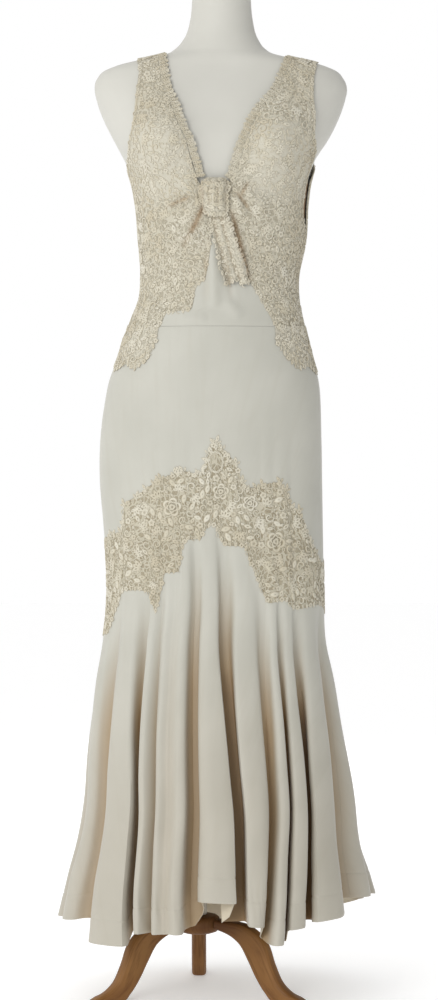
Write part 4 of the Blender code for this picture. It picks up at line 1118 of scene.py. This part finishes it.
class Lace:
    """The motifs of one panel, each with a place, a turn and a size, packed without laying one on another."""

    def __init__(self):
        self.kinds, self.places, self.points, self.radii = [], [], np.zeros((0, 3)), np.zeros(0)

    def add(self, kind, azimuth, height, turn, size, crowd=None, lift=0.0):
        """Lays a motif. With a share of crowding it is laid only where the others leave it that much room."""
        point = cloth.at(azimuth, height)
        radius = MOTIFS[kind][1] * size
        if crowd is not None:
            apart = np.linalg.norm(self.points - point, axis=1)
            if np.any(apart < (self.radii + radius) * crowd):
                return
        self.kinds.append(kind)
        self.places.append((azimuth, height, turn, size, lift))
        self.take_room(point, radius)

    def take_room(self, point, radius):
        """Keeps the motifs that are packed later off a place."""
        self.points = np.vstack([self.points, point])
        self.radii = np.append(self.radii, radius)

    def fill(self, kinds, spots, tries, crowd=0.90):
        """Packs motifs of each kind in turn on random spots of a panel."""
        for kind, share in kinds:
            for azimuth, height in spots(int(tries * share)):
                self.add(kind, azimuth, height, rng.uniform(0, 360), rng.uniform(0.86, 1.12), crowd)

    def border(self, azimuth, height, pattern, step):
        """Lays a pattern of motifs in even steps along an edge."""
        run = run_along(cloth.at(azimuth, height))
        for number, place in enumerate(np.arange(step / 2, run[-1], step)):
            a, h = np.interp(place, run, azimuth), np.interp(place, run, height)
            kind, turn, size = pattern[number % len(pattern)]
            self.add(kind, a, h, turn + rng.uniform(-14, 14), size * rng.uniform(0.92, 1.08))

    def sew(self, name, raised=lambda azimuth, height: 0.0001):
        """Sews one mesh of all the motifs on the sheet that was hung last. They are bent to that cloth, which
        is raised from the gown's face."""
        places = np.array(self.places)
        points, faces, uvs, marks, count = [], [], [], {"crown": [], "tone": [], "fold": []}, 0
        for kind, ((shape, quads, crown), _) in MOTIFS.items():
            rows = places[[k == kind for k in self.kinds]]
            if not len(rows):
                continue
            azimuth, height, turn, size, lift = (rows[:, k:k + 1] for k in range(5))
            c, s = np.cos(np.radians(turn)), np.sin(np.radians(turn))
            right = (shape[:, 0] * c - shape[:, 1] * s) * size
            up = (shape[:, 0] * s + shape[:, 1] * c) * size
            tone = np.broadcast_to(rng.uniform(0, 1, (len(rows), 1)), right.shape)
            a, h = cloth.move(azimuth, height, right, up)
            above = raised(a, h) + lift + shape[:, 2] * (0.75 + 0.35 * size)
            points.append(cloth.at(a, h, above).reshape(-1, 3))
            first = count + np.arange(len(rows)) * len(shape)
            faces.append((quads[None] + first[:, None, None]).reshape(-1, 4))
            uvs.append(np.stack([right + azimuth * 0.003, up + height], -1).reshape(-1, 2))
            marks["crown"].append(np.broadcast_to(crown, right.shape).ravel())
            marks["tone"].append(tone.ravel())
            marks["fold"].append(fold_shade(a, h).ravel())
            count += len(rows) * len(shape)
        marks = {mark: np.concatenate(values) for mark, values in marks.items()}
        points, uvs = np.concatenate(points), np.concatenate(uvs)
        sheets[-1][-1].append(build(name, points, faces, cord, uvs, marks, 75.0))


def panel_spots(azimuth, height, margin):
    """Random places on a panel of which a grid is given. The margin is the share left free at each rim."""
    grid = np.stack([azimuth, height], -1)

    def spots(count):
        u = rng.uniform(margin, 1 - margin, count) * (grid.shape[1] - 1)
        v = rng.uniform(margin, 1 - margin, count) * (grid.shape[0] - 1)
        return between(grid, u, v)
    return spots


# Motifs that are packed on a panel, each with its share of the tries
LACE_MIX = (("fan", 0.02), ("scroll", 0.03), ("plump_leaf", 0.06), ("sprig", 0.06), ("floret", 0.08),
            ("leaf", 0.20), ("curl", 0.10), ("small_floret", 0.12), ("petal", 0.20), ("small_leaf", 0.35),
            ("hook", 0.20), ("wisp", 0.40), ("eyelet", 0.08), ("bead", 0.6))
FINE_MIX = (("fan", 0.012), ("scroll", 0.015), ("sprig", 0.05), ("floret", 0.02), ("curl", 0.04),
            ("leaf", 0.15), ("small_floret", 0.05), ("petal", 0.50), ("small_leaf", 0.40), ("hook", 0.50),
            ("wisp", 0.80), ("bead", 0.8))
KNOT_MIX = (("leaf", 0.05), ("small_floret", 0.06), ("petal", 0.30), ("small_leaf", 0.30), ("hook", 0.30),
            ("wisp", 0.60), ("bead", 0.6))

# Roses of the band: azimuth, height, size
ROSES = {
    "front": ((-31.0, 0.776, 1.15), (46.0, 0.722, 1.25), (8.0, 0.800, 1.0), (30.0, 0.782, 0.95)),
    "back": ((118.0, 0.672, 1.1), (160.0, 0.724, 1.2), (200.0, 0.728, 1.1), (240.0, 0.672, 1.15)),
}

# Motifs along an edge: kind, turn in degrees, size
EDGE_PATTERN = (("floret", 0, 0.80), ("wisp", 60, 1.1), ("small_leaf", 90, 1.0), ("small_floret", 0, 1.0),
                ("leaf", 70, 0.8), ("curl", 0, 0.7), ("small_leaf", 90, 1.1))


# Gown


def columns(start, end, step):
    """Azimuths of a panel between two side seams, in even steps and at the band's corners."""
    gap = seam_degrees(HIP_RADIUS)
    start, end = start + gap, end - gap
    share = stepped(math.radians(end - start) * HIP_RADIUS, math.radians(step) * HIP_RADIUS)
    return with_corners(start + (end - start) * share)


def with_corners(azimuth):
    """Azimuths of a panel with the band's corners in place of the nearest ones."""
    corners = np.array([row[0] + turn for row in BAND[:-1] for turn in (0, 360)])
    corners = corners[(corners > azimuth[3] + 0.3) & (corners < azimuth[-4] - 0.3)]
    kept = [a for a in azimuth[4:-4] if np.abs(corners - a).min() > 0.12]
    return np.sort(np.concatenate([azimuth[:4], kept, azimuth[-4:], corners]))


def make_hips():
    """Smooth crepe over the hips, a front and a back."""
    for side, start, end in HALVES:
        azimuth = columns(start, end, 1.35)
        down = stepped(0.30, 0.0054)
        top = edge_height(BAND_TOP, wrapped(azimuth))[None, :] + SEAM_GAP / 2
        height = (WAIST - SEAM_GAP / 2) * (1 - down[:, None]) + top * down[:, None]
        across = (azimuth - azimuth[0]) / (azimuth[-1] - azimuth[0])
        lay("hip_crepe_" + side, "hip_" + side, azimuth, height, silk, "draped", "form_torso",
            rolled(across, down, 0.5, 0.30))


def make_band():
    """Net band with its flowers and leaves, a front and a back."""
    for side, start, end in HALVES:
        azimuth = columns(start, end, 1.2)
        top, low = (edge_height(edge, wrapped(azimuth)) for edge in (BAND_TOP, BAND_LOW))
        down = stepped(0.12, 0.0040)[:, None]
        height = (top - SEAM_GAP / 2) * (1 - down) + (low + SEAM_GAP / 2) * down
        angles = np.broadcast_to(azimuth, height.shape)
        lay("band_net_" + side, "lace_band_" + side, angles, height, net, "hung", "hip_crepe_" + side)
        lace = Lace()
        if side == "front":
            open_oval(lace)
        for place, level, size in ROSES[side]:
            lace.add("rose", place, level, rng.uniform(0, 72), size)
        for place, level, _ in BAND:
            turned_place = (place - start) % 360 + start
            if start + 4 < turned_place < end - 4:
                lace.add("sprig", place, level - 0.001, rng.uniform(50, 130), 0.8)
        for edge in (top - 0.0030, low + 0.0026):
            lace.border(azimuth[1:-1], edge[1:-1], EDGE_PATTERN, 0.0088)
        lace.fill(LACE_MIX, panel_spots(angles, height, 0.01), 5200)
        lace.sew("band_flowers_" + side)


# Open ring of small leaves at the band's middle peak: azimuth, height. Beside it a spray of leaves: turn in
# degrees, distance from the ring's middle.
RING_PLACE = (4.4, 0.846)
SPRAY = ((35, 0.019), (5, 0.020), (-28, 0.024), (-60, 0.026), (165, 0.017), (205, 0.020), (90, 0.024))


def open_oval(lace):
    """Open ring of small leaves with a spray beside it, and bare net within it."""
    def beside(right, up):
        azimuth, height = cloth.move(*(np.array(value) for value in RING_PLACE), right, up)
        return float(azimuth), float(height)

    for turn in np.arange(0, 360, 24.0):
        c, s = math.cos(math.radians(turn)), math.sin(math.radians(turn))
        lace.add("small_leaf", *beside(0.0110 * c, 0.0155 * s), turn + 90, 0.85)
    for turn, reach in SPRAY:
        c, s = math.cos(math.radians(turn)), math.sin(math.radians(turn))
        lace.add("leaf", *beside(reach * c, reach * s), turn, 0.9)
    for up in (-0.007, 0.0, 0.007):
        lace.take_room(cloth.at(*beside(0.0, up)), 0.0085)


def flare_grid(azimuth, down_top, down_hem):
    """Points of the fluted skirt by column azimuths and rows, above and below the hem's line of stitches, and
    its painted shade: deepest in the folds, more on the side away from the key lamp and towards the hem."""
    flat = wrapped(azimuth)
    top = edge_height(BAND_LOW, flat) - SEAM_GAP / 2
    depth, inside, along, left = flute_share(flat)
    near = np.where(along < 0.5, left, left + 1)
    side = np.where(along < 0.5, 1.0, -1.0)
    place = np.minimum(along, 1 - along)
    section = np.array(FOLD)
    _, reach, hollow = smooth_path(section, np.interp(place, section[:, 0], np.arange(len(section)))).T
    boxed = np.clip((VALLEY_DEPTH[near] - 0.030) / 0.014, 0, 1)
    overhung = sum((flat > start) & (flat < end) for start, end in OVERHUNG_FLUTES)
    reach = reach * (1 + 0.85 * overhung * ease_in(hollow, 0.3, 0.8))

    at_hem = np.interp(flat, AT_LACE, AT_HEM)
    level_at = AT_HEM[near] + (at_hem - AT_HEM[near]) * (1 - boxed * (1 - ease_in(place, 0.14, 0.25)))
    hem = edge_height(HEM, level_at)
    stitched = 1 - HEM_DEPTH / (top - hem)
    drop = np.concatenate([down_top[:, None] * stitched, stitched + down_hem[:, None] * (1 - stitched)])
    height = top + (hem - top) * drop
    share = np.clip((FLUTE_TOP - height) / (FLUTE_TOP - HEM_LEVEL), 0, 1.1)
    width = (AT_LACE[left + 1] - AT_LACE[left]) * (1 - share) + (AT_HEM[left + 1] - AT_HEM[left]) * share
    bend = side * (reach - place) * boxed * width * ease_in(drop, 0.04, 0.62)
    angle = flat * (1 - share) + at_hem * share + bend
    point = hung_point(angle, height)
    radians = np.radians(angle)
    inwards = np.stack([-np.sin(radians), np.cos(radians), np.zeros_like(angle)], -1)
    sway = 0.0016 * np.sin(height * 19 + flat * 0.21) + 0.0011 * np.sin(height * 41 - flat * 0.33)
    fold = boxed * VALLEY_DEPTH[near] * hollow + (1 - boxed) * depth * inside
    sink = fold * np.clip(drop, 0, 1.1) ** 0.75 - ripple(flat, top) * (1 - drop) ** 2
    point = point + inwards * (sink + sway * drop * (1 - inside))[..., None]
    # Painted shade: in the valleys of the folds, stronger on the side away from the key lamp, and a little
    # over the whole skirt towards the hem
    shallow = inside ** 1.3 * np.clip(depth / 0.045, 0, 0.75)
    shade = boxed * ease_in(hollow, 0.10, 0.75) + (1 - boxed) * shallow
    away_from_lamp = np.exp(-((flat - 50) / 14) ** 2)
    shade = (0.80 + 0.20 * away_from_lamp) * shade * ease_in(drop, 0.02, 0.42)
    return point, shade + (1 - shade) * 0.17 * ease_in(drop, 0.0, 0.8)


COLUMNS_A_FLUTE = 26


def make_flare():
    """Fluted crepe skirt with its turned-up hem, a front and a back."""
    steps = np.arange(COLUMNS_A_FLUTE) / COLUMNS_A_FLUTE
    keys = [a + (b - a) * s for a, b in zip(AT_LACE[1:], AT_LACE[2:]) for s in steps]
    keys = [key + turn for key in keys for turn in (-360, 0, 360)]
    down_top = np.array([0.0, 0.003, 0.007, 0.013, *np.linspace(0.025, 0.975, 46), 0.986, 0.993, 0.997])
    down_hem = np.array([0.0, 0.03, 0.08, 0.16, *np.linspace(0.26, 0.88, 8), 0.94, 0.975, 1.0])
    from_stitch = np.concatenate([(1 - down_top) * 0.45, -down_hem * HEM_DEPTH])[:, None]
    for side, start, end in HALVES:
        gap = seam_degrees(HIP_RADIUS) / 3
        inner = sorted(key for key in keys if start + 0.7 < key < end - 0.7)
        azimuth = with_corners(np.array([start + gap, start + 0.4] + inner + [end - 0.4, end - gap]))
        outer, shade = flare_grid(azimuth, down_top, down_hem)
        normal = unit_normals(outer)
        normal = normal * math.copysign(1, np.sum(normal * outer * (1, 1, 0), -1).mean())
        pucker = np.cos(azimuth * 1.1) * 0.5 + np.cos(azimuth * 1.9 + 1.1 + from_stitch * 90) * 0.5
        lift = -0.0005 * np.exp(-(from_stitch / 0.0016) ** 2) + 0.0002 * (from_stitch < 0)
        lift = lift + 0.0006 * pucker * np.exp(-(from_stitch / 0.024) ** 2)
        lift = lift - 0.0005 * np.exp(-((from_stitch + HEM_DEPTH) / 0.0014) ** 2)
        outer = outer + normal * lift[..., None]
        # The outer face takes the painted fold shade, and the inner face takes the painted light of the
        # inside mark
        hang("flared_skirt_" + side, "flare_" + side, (outer, outer - normal * CREPE), silk, "hung",
             "band_net_" + side, {"fold": (shade, 0.0), "inside": (0.0, 1.0)})


# Lining behind the cups: their two centres x, height of the centres, half width, half height
CUP_CENTRES = (-0.094, 0.098)
CUP_LEVEL, CUP_WIDTH, CUP_HEIGHT = 1.318, 0.046, 0.055


def make_bodice():
    """Lace bodice, two fronts with lined cups and two backs, and the crepe let in over the midriff."""
    gap = seam_degrees(MIDRIFF_RADIUS)
    left, right = bodice_edges(BODICE_LEFT, -1), bodice_edges(BODICE_RIGHT, -1)
    panels = {
        "front_left": left + (-gap, 0, 0, 0),
        "front_right": right + (gap, 0, 0, 0),
        "back_left": bodice_edges(BACK_LEFT, 1),
        "back_right": bodice_edges(BACK_RIGHT, 1),
    }
    for name, edges in panels.items():
        rows = even_path(edges, len(edges) - 1, 0.0042)
        azimuth, height = ruled(rows, stepped(0.15, 0.0036))
        x, y, z = np.moveaxis(cloth.at(azimuth, height), -1, 0)
        off = ((z - CUP_LEVEL) / CUP_HEIGHT) ** 4
        cups = sum(np.exp(-((x - centre) / CUP_WIDTH) ** 4 - off) for centre in CUP_CENTRES)
        lay("bodice_net_" + name, "bodice_" + name, azimuth, height, net, "draped", "form_torso",
            marks={"lining": np.clip(0.42 + (y < 0) * cups * 1.2, 0, 1)})
        lace = Lace()
        for edge, pattern in zip(drawn_in(rows[2:-2], 0.0030), (EDGE_PATTERN, EDGE_PATTERN[1:])):
            lace.border(*edge.T, pattern, 0.0080)
        lace.fill(FINE_MIX, panel_spots(azimuth, height, 0.012), 5600)
        lace.sew("bodice_flowers_" + name)
    rows = np.hstack([left[:, :2] + (gap, 0), right[:, :2] + (-gap, 0)])
    rows = even_path(rows, MIDRIFF_ROWS - 1, 0.0030)
    azimuth, height = ruled(rows, stepped(0.16, 0.0034))
    lay("midriff_crepe", "midriff_front", azimuth, height, silk, "draped", "form_torso",
        marks={"fold": fold_shade(azimuth, height) * 0.25})


def make_hip_lace():
    """Tongues of lace that run on from the bodice over each hip."""
    for side, table in (("left", HIP_LACE_LEFT), ("right", HIP_LACE_RIGHT)):
        azimuth = np.linspace(table[0][0], table[-1][0], 64)
        down = stepped(0.07, 0.0035)[:, None]
        low = edge_height(table, azimuth)
        height = (WAIST + 0.001) * (1 - down) + low * down
        angles = np.broadcast_to(azimuth, height.shape)
        lay("hip_net_" + side, "hip_lace_" + side, angles, height, net, "laid", "hip_crepe_front",
            0.0009, {"lining": 0.7})
        lace = Lace()
        lace.border(azimuth, low + 0.0015, EDGE_PATTERN, 0.0095)
        lace.fill(FINE_MIX, panel_spots(angles, height, 0.02), 1300)
        lace.sew("hip_flowers_" + side, lambda a, h: 0.0010)


EDGING_SCALLOPS = 28
EDGING_ROWS = 241

# Motifs along the edging: column of its grid, kind, size
EDGING_MOTIFS = ((7, "small_leaf", 0.8), (4, "small_floret", 0.75), (2, "eyelet", 0.9))


def make_edging():
    """Ruffled lace edging with a scalloped free edge along both sides of the neckline."""
    for name, free_edge, bodice, hand in (
        ("left", EDGING_LEFT, BODICE_LEFT, -1), ("right", EDGING_RIGHT, BODICE_RIGHT, 1),
    ):
        seam = bodice_edges(bodice, -1)[EDGING_FROM:, :2] - (hand * 0.1, 0)
        free = np.array([[float(v) for v in (shoulder_place(x) if z is None else front_place(x, z))]
                         for x, z in free_edge])
        along = np.linspace(0, 1, EDGING_ROWS)
        seam_path, free_path = (even_path(edge, len(edge) - 1, shares=along) for edge in (seam, free))
        scallop = 1 - 0.20 * (0.5 + 0.5 * np.cos(along * math.pi * 2 * EDGING_SCALLOPS)) ** 2
        across = np.linspace(0, 1, 9)[None, :] * scallop[:, None]
        azimuth = seam_path[:, :1] + (free_path[:, :1] - seam_path[:, :1]) * across
        height = seam_path[:, 1:] + (free_path[:, 1:] - seam_path[:, 1:]) * across
        ruffle = 0.5 + 0.5 * np.sin(along * 63 + 1.7 * np.sin(along * 11))
        calm = np.clip(along * 6, 0.15, 1) * (1 - 0.85 * ease_in(along, 0.62, 0.92))
        lift = (0.0036 * ruffle * calm)[:, None] * across ** 1.4 + 0.0002
        hang("neck_edging_lace_" + name, "neck_edging_" + name, cloth.faces(azimuth, height, lift, NET), net,
             "gathered", "bodice_net_front_" + name, {"lining": 0.55 + 0.35 * (across > 0.8)})
        lace = Lace()
        for column, kind, size in EDGING_MOTIFS:
            for row in range(3, EDGING_ROWS - 3, 6):
                lace.add(kind, azimuth[row, column], height[row, column], rng.uniform(0, 360),
                         size * rng.uniform(0.85, 1.1), lift=lift[row, column])
        lace.sew("neck_edging_flowers_" + name)


def knot_lift(x, z):
    """How far the knot's pleated face stands off the gown, how far across it a place is, and its pleats."""
    centre, half, projection = smooth_rows(KNOT, z)
    across = np.clip((x - centre) / half, -1, 1)
    run = (KNOT[0][0] - z) / (KNOT[0][0] - KNOT[-1][0])
    pleats = 0.0011 * np.cos((across * 3.4 + 0.35 * run) * math.pi)
    pleats = pleats + 0.0005 * np.cos(across * 9 * math.pi + run * 4)
    pleats = pleats * np.sin(math.pi * np.clip(run, 0.05, 0.95)) ** 0.5
    pad = np.maximum(projection * (1 - np.abs(across) ** 2.4) + pleats, 0.0)
    return 0.0052 - 0.0020 * ease_in(run, 0.7, 1.0) + pad, across, pleats


def tail_lift(x, z):
    """How far the tail stands off the gown, and how much of that its waves are."""
    left, right = smooth_rows(TAIL, z)
    across = np.clip((x - left) / (right - left), 0, 1)
    swing = np.clip((TAIL[0][0] - z) / (TAIL[0][0] - TAIL[-1][0]), 0, 1)
    waves = 0.0023 * (0.35 + 0.65 * swing) * (1 + np.cos(across * math.pi * 4.4 + 0.3))
    waves = waves * ease_in(TAIL[0][0] - z, -0.006, 0.014)
    return 0.0026 + 0.0006 * swing + waves, waves


def make_knot():
    """Gathered knot of lace at the centre front."""
    z = np.linspace(KNOT[0][0], KNOT[-1][0], 46)[:, None]
    centre, half, _ = smooth_rows(KNOT, z[:, 0])
    x = centre[:, None] + half[:, None] * np.sin(np.linspace(-math.pi / 2, math.pi / 2, 61))
    z = np.broadcast_to(z, x.shape)
    azimuth, level = front_place(x, z)
    lift, across, pleats = knot_lift(x, z)
    # Painted shade in the grooves of the pleats and where the knot turns away at its sides
    pleat_shade = np.clip(-pleats / 0.0018, 0, 1) * 0.30 + 0.30 * np.abs(across) ** 6
    hang("gathered_knot", "knot", (cloth.at(azimuth, level, lift), cloth.at(azimuth, level, 0.0024)), net,
         "gathered", "midriff_crepe", {"lining": 0.6, "fold": pleat_shade})
    lace = Lace()
    lace.border(azimuth[-3], level[-3], EDGE_PATTERN[1:4], 0.0050)
    for column in (2, -3):
        lace.border(azimuth[4:-4, column], level[4:-4, column], EDGE_PATTERN[2:5], 0.0070)
    lace.fill(KNOT_MIX, panel_spots(azimuth, level, 0.06), 2600, 0.84)
    lace.sew("knot_flowers", lambda a, h: knot_lift(*seen(a, h))[0] - 0.0002)


def make_tail():
    """End of lace that hangs from the knot."""
    tucked = (TAIL[0][0] + 0.007, TAIL[0][1] + 0.002, TAIL[0][2] - 0.002)
    rows = smooth_path(np.array([tucked, *TAIL]), np.linspace(0, len(TAIL), 56))
    across = np.linspace(0, 1, 41)
    swing = np.linspace(0, 1, len(rows))[:, None]
    x = rows[:, 1:2] + (rows[:, 2:3] - rows[:, 1:2]) * across
    dip = 0.004 * np.sin(across * math.pi * 3) * swing
    dip = dip + 0.0016 * np.abs(np.sin(across * math.pi * 6)) * swing ** 3
    azimuth, level = front_place(x, rows[:, :1] - dip)
    lift, waves = tail_lift(x, np.broadcast_to(rows[:, :1], x.shape))
    # The fold mark is painted shade in the troughs between the tail's waves
    hang("knot_tail_lace", "knot_tail", cloth.faces(azimuth, level, lift, NET), net, "hung", "gathered_knot",
         {"lining": 0.7, "fold": np.clip(1 - waves / 0.0022, 0, 1) * 0.30})
    lace = Lace()
    lace.border(azimuth[-1], level[-1], EDGE_PATTERN, 0.0075)
    for column in (0, -1):
        lace.border(azimuth[:, column], level[:, column], EDGE_PATTERN[1:], 0.0085)
    lace.fill(KNOT_MIX, panel_spots(azimuth, level, 0.05), 1200)
    lace.sew("tail_flowers", lambda a, h: tail_lift(*seen(a, h))[0] - 0.0002)


def seen(azimuth, height):
    """Where a place on the gown is seen from the front, as x and height."""
    point = cloth.at(azimuth, height)
    return point[..., 0], point[..., 2]


def make_placket():
    """Tan tape that shows in the open side placket."""
    tape = Fabric(tape_finish(), "placket_tape", 0.0010)
    height = np.linspace(PLACKET_OPENING[0][0], PLACKET_OPENING[-1][0], 30)[:, None]
    azimuth = np.linspace(RIGHT_SEAM - 2.4 * PLACKET_PULL, RIGHT_SEAM + 3.4, 22)[None, :]
    azimuth, height = np.broadcast_arrays(azimuth, height)
    faces = cloth.faces(azimuth, height, np.full(azimuth.shape, -0.0032), tape.wall)
    hang("placket_tape", "side_placket", faces, tape, "laid", "bodice_net_back_right")


# Form and stand


def loft(name, rings, finish, node, fold=None, uv=None):
    """A closed body through rings of points, each end closed with one face."""
    rings = np.asarray(rings)
    count, around = rings.shape[:2]
    index = np.arange(count * around).reshape(count, around)
    faces = [cells(np.hstack([index, index[:, :1]])), index[:1][:, ::-1], index[-1:]]
    low, high = rings[count // 2], rings[count // 2 + 1]
    corner = high[1] - low[0], high[0] - low[1]
    if np.dot(np.cross(*corner), low[0] - low.mean(axis=0)) > 0:
        faces = [block[:, ::-1] for block in faces]
    # A fold mark on the stand's pieces is painted shade, which the wood's finish takes
    marks = {} if fold is None else {"fold": np.broadcast_to(fold, (count, around)).ravel()}
    if uv is None:
        uv = np.stack(lengths_across(rings), -1).reshape(-1, 2)
    piece = build(name, rings.reshape(-1, 3), faces, finish, uv, marks, 50.0)
    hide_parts(node)


FORM_SIDES = 112

# Neck: its centre x, half width and half depth, and the low dome that closes it, as rows of share of those
# halves and height above its top
NECK_X, NECK_HALF, NECK_DEPTH = 0.004, 0.046, 0.049
NECK_DOME = ((0.30, 0.0062), (0.62, 0.0058), (0.84, 0.0046), (0.95, 0.0022))


def make_form():
    """Padded form in its jersey cover, from its flat base to the top of its neck."""
    heights = np.unique(np.concatenate([
        np.linspace(FORM_BASE, 1.40, 62), np.linspace(1.40, 1.53, 44), np.linspace(1.53, NECK_TOP, 16),
    ]))[::-1]
    turn = np.radians(180 + np.arange(FORM_SIDES) * 360 / FORM_SIDES)
    sine, cosine = np.sin(turn), np.cos(turn)
    rings = []
    for share, rise in NECK_DOME:
        level = np.full(FORM_SIDES, NECK_TOP + rise)
        x, y = NECK_X + share * NECK_HALF * sine, -share * NECK_DEPTH * cosine
        rings.append(np.stack([x, y, level], -1))
    for height in heights:
        centre, half, front, back, power = (float(v) for v in smooth_rows(FIGURE, height))
        scale = 1.0 - 0.10 * (1 - ease_in(height, FORM_BASE, 0.765))
        reach = scale * section_radius(sine, cosine, half, np.where(cosine > 0, front, back), power)
        x, y = centre + reach * sine, -reach * cosine
        y = y - np.where(cosine > 0.001, bust_projection(x, height, np.abs(x - centre) / half), 0.0)
        rings.append(np.stack([x, y, np.full(FORM_SIDES, height)], -1))
    loft("dress_form", rings, form_finish(), "form_torso")


# Turned hub, from its underside up: radius, height above its lower end
HUB = (
    (0.010, 0.0), (0.022, 0.0003), (0.030, 0.003), (0.034, 0.008), (HUB_RADIUS, 0.012),
    (HUB_RADIUS, 0.021), (0.0335, 0.025), (0.030, 0.028), (0.026, 0.029),
)
POLE_END_RADIUS = 0.0125
TURNED_SIDES = 48
LEG_SIDES, LEG_RINGS = 32, 60


def turned(name, node, profile, finish, fold=None):
    """A piece that is turned about the pole's axis, from rows of radius and height."""
    turn = np.radians(np.arange(TURNED_SIDES) * 360 / TURNED_SIDES)
    ring = np.stack([np.cos(turn), np.sin(turn)], -1)
    rings = [np.hstack([ring * r + (POLE_X, 0), np.full((TURNED_SIDES, 1), z)]) for r, z in profile]
    loft(name, rings, finish, node, fold)


def make_pole(steel):
    """Steel pole from the hub up to the form, its two ends chamfered."""
    low, high = HUB_HIGH + SEAM_GAP, FORM_BASE - SEAM_GAP
    levels = (low + 0.001, *np.linspace(low + 0.002, high - 0.002, 12), high - 0.001)
    profile = [(POLE_END_RADIUS, low), *((POLE_RADIUS, z) for z in levels), (POLE_END_RADIUS, high)]
    turned("steel_pole", "stand_pole", profile, steel)


def make_legs(wood):
    """Three bent legs, rounded in section, with the grain along them."""
    rows = smooth_path(np.array(LEG), np.linspace(0, len(LEG) - 1, LEG_RINGS))
    span = math.pi + np.linspace(0, 2 * math.pi, LEG_SIDES + 1)[:-1]
    flat, across = np.cos(span), np.sin(span)
    bulge = np.copysign(np.abs(flat) ** 0.55, flat), np.copysign(np.abs(across) ** 0.55, across)
    # Painted shade on the legs, deepest at the hub under the skirt
    leg_shade_near_hub = (1 - ease_in(rows[:, 0], 0.035, 0.085))[:, None] * 0.55
    length = run_along(rows[:, :2])[:, None]
    for name, direction in LEG_DIRECTIONS.items():
        rings, angle = [], math.radians(direction - 90)
        c, s = math.cos(angle), math.sin(angle)
        for r_low, z_low, r_top, z_top in rows:
            radial = (r_low + r_top) / 2 + bulge[0] * (r_top - r_low) / 2
            level = (z_low + z_top) / 2 + bulge[0] * (z_top - z_low) / 2
            side = bulge[1] * LEG_THICKNESS / 2
            rings.append(np.stack([POLE_X + radial * c - side * s, radial * s + side * c, level], -1))
        grain = np.broadcast_arrays(span * 0.013, length + direction * 0.01)
        uv = np.stack(grain, -1).reshape(-1, 2)
        loft("bent_" + name, rings, wood, name, leg_shade_near_hub, uv)


def make_stand():
    """Steel pole, turned wooden hub and three bent legs."""
    wood, steel = wood_finish(), steel_finish()
    make_pole(steel)
    # The hub carries painted shade all over, as it stands under the skirt
    turned("turned_hub", "stand_hub", [(r, HUB_LOW + rise) for r, rise in HUB], wood, 0.35)
    make_legs(wood)


# Studio


def make_studio():
    """Pale floor, white surroundings, soft lights and the camera."""
    bpy.ops.mesh.primitive_plane_add(size=30.0)
    floor = bpy.context.active_object
    floor.name = "paper_floor"
    floor.data.materials.append(floor_finish())

    world = bpy.data.worlds.new("white_studio")
    bpy.context.scene.world = world
    world.use_nodes = True
    nodes, links = world.node_tree.nodes, world.node_tree.links
    direction = nodes.new("ShaderNodeTexCoord")
    towards = nodes.new("ShaderNodeVectorMath")
    towards.operation = "DOT_PRODUCT"
    towards.inputs[1].default_value = DIMMED_TOWARDS
    dimmer = nodes.new("ShaderNodeMapRange")
    for name, value in zip(("From Min", "From Max", "To Min", "To Max"), DIMMED_BETWEEN):
        dimmer.inputs[name].default_value = value
    seen_white = nodes.new("ShaderNodeMath")
    seen_white.operation = "MAXIMUM"
    links.new(direction.outputs["Generated"], towards.inputs[0])
    links.new(towards.outputs["Value"], dimmer.inputs["Value"])
    links.new(dimmer.outputs["Result"], seen_white.inputs[0])
    links.new(nodes.new("ShaderNodeLightPath").outputs["Is Camera Ray"], seen_white.inputs[1])
    links.new(seen_white.outputs[0], nodes["Background"].inputs["Strength"])
    nodes["Background"].inputs["Color"].default_value = (1.0, 1.0, 1.0, 1.0)

    for name, place, size, power in LAMPS:
        lamp = bpy.data.lights.new(name, "AREA")
        lamp.size = size
        lamp.energy = power
        item = bpy.data.objects.new(name, lamp)
        bpy.context.scene.collection.objects.link(item)
        item.location = place
        aim = np.subtract(AIM, place)
        pan = math.atan2(aim[1], aim[0]) - math.pi / 2
        tilt = math.pi / 2 + math.atan2(aim[2], math.hypot(aim[0], aim[1]))
        item.rotation_euler = (tilt, 0.0, pan)

    lens = bpy.data.cameras.new("studio_camera")
    lens.lens = LENS
    camera = bpy.data.objects.new("studio_camera", lens)
    bpy.context.scene.collection.objects.link(camera)
    camera.location = CAMERA_PLACE
    camera.rotation_euler = (math.pi / 2, 0.0, 0.0)
    bpy.context.scene.camera = camera
    bpy.context.scene.view_settings.view_transform = "Standard"


make_form()
make_stand()
make_hips()
make_band()
make_flare()
make_bodice()
make_hip_lace()
make_edging()
make_knot()
make_tail()
make_placket()
make_studio()
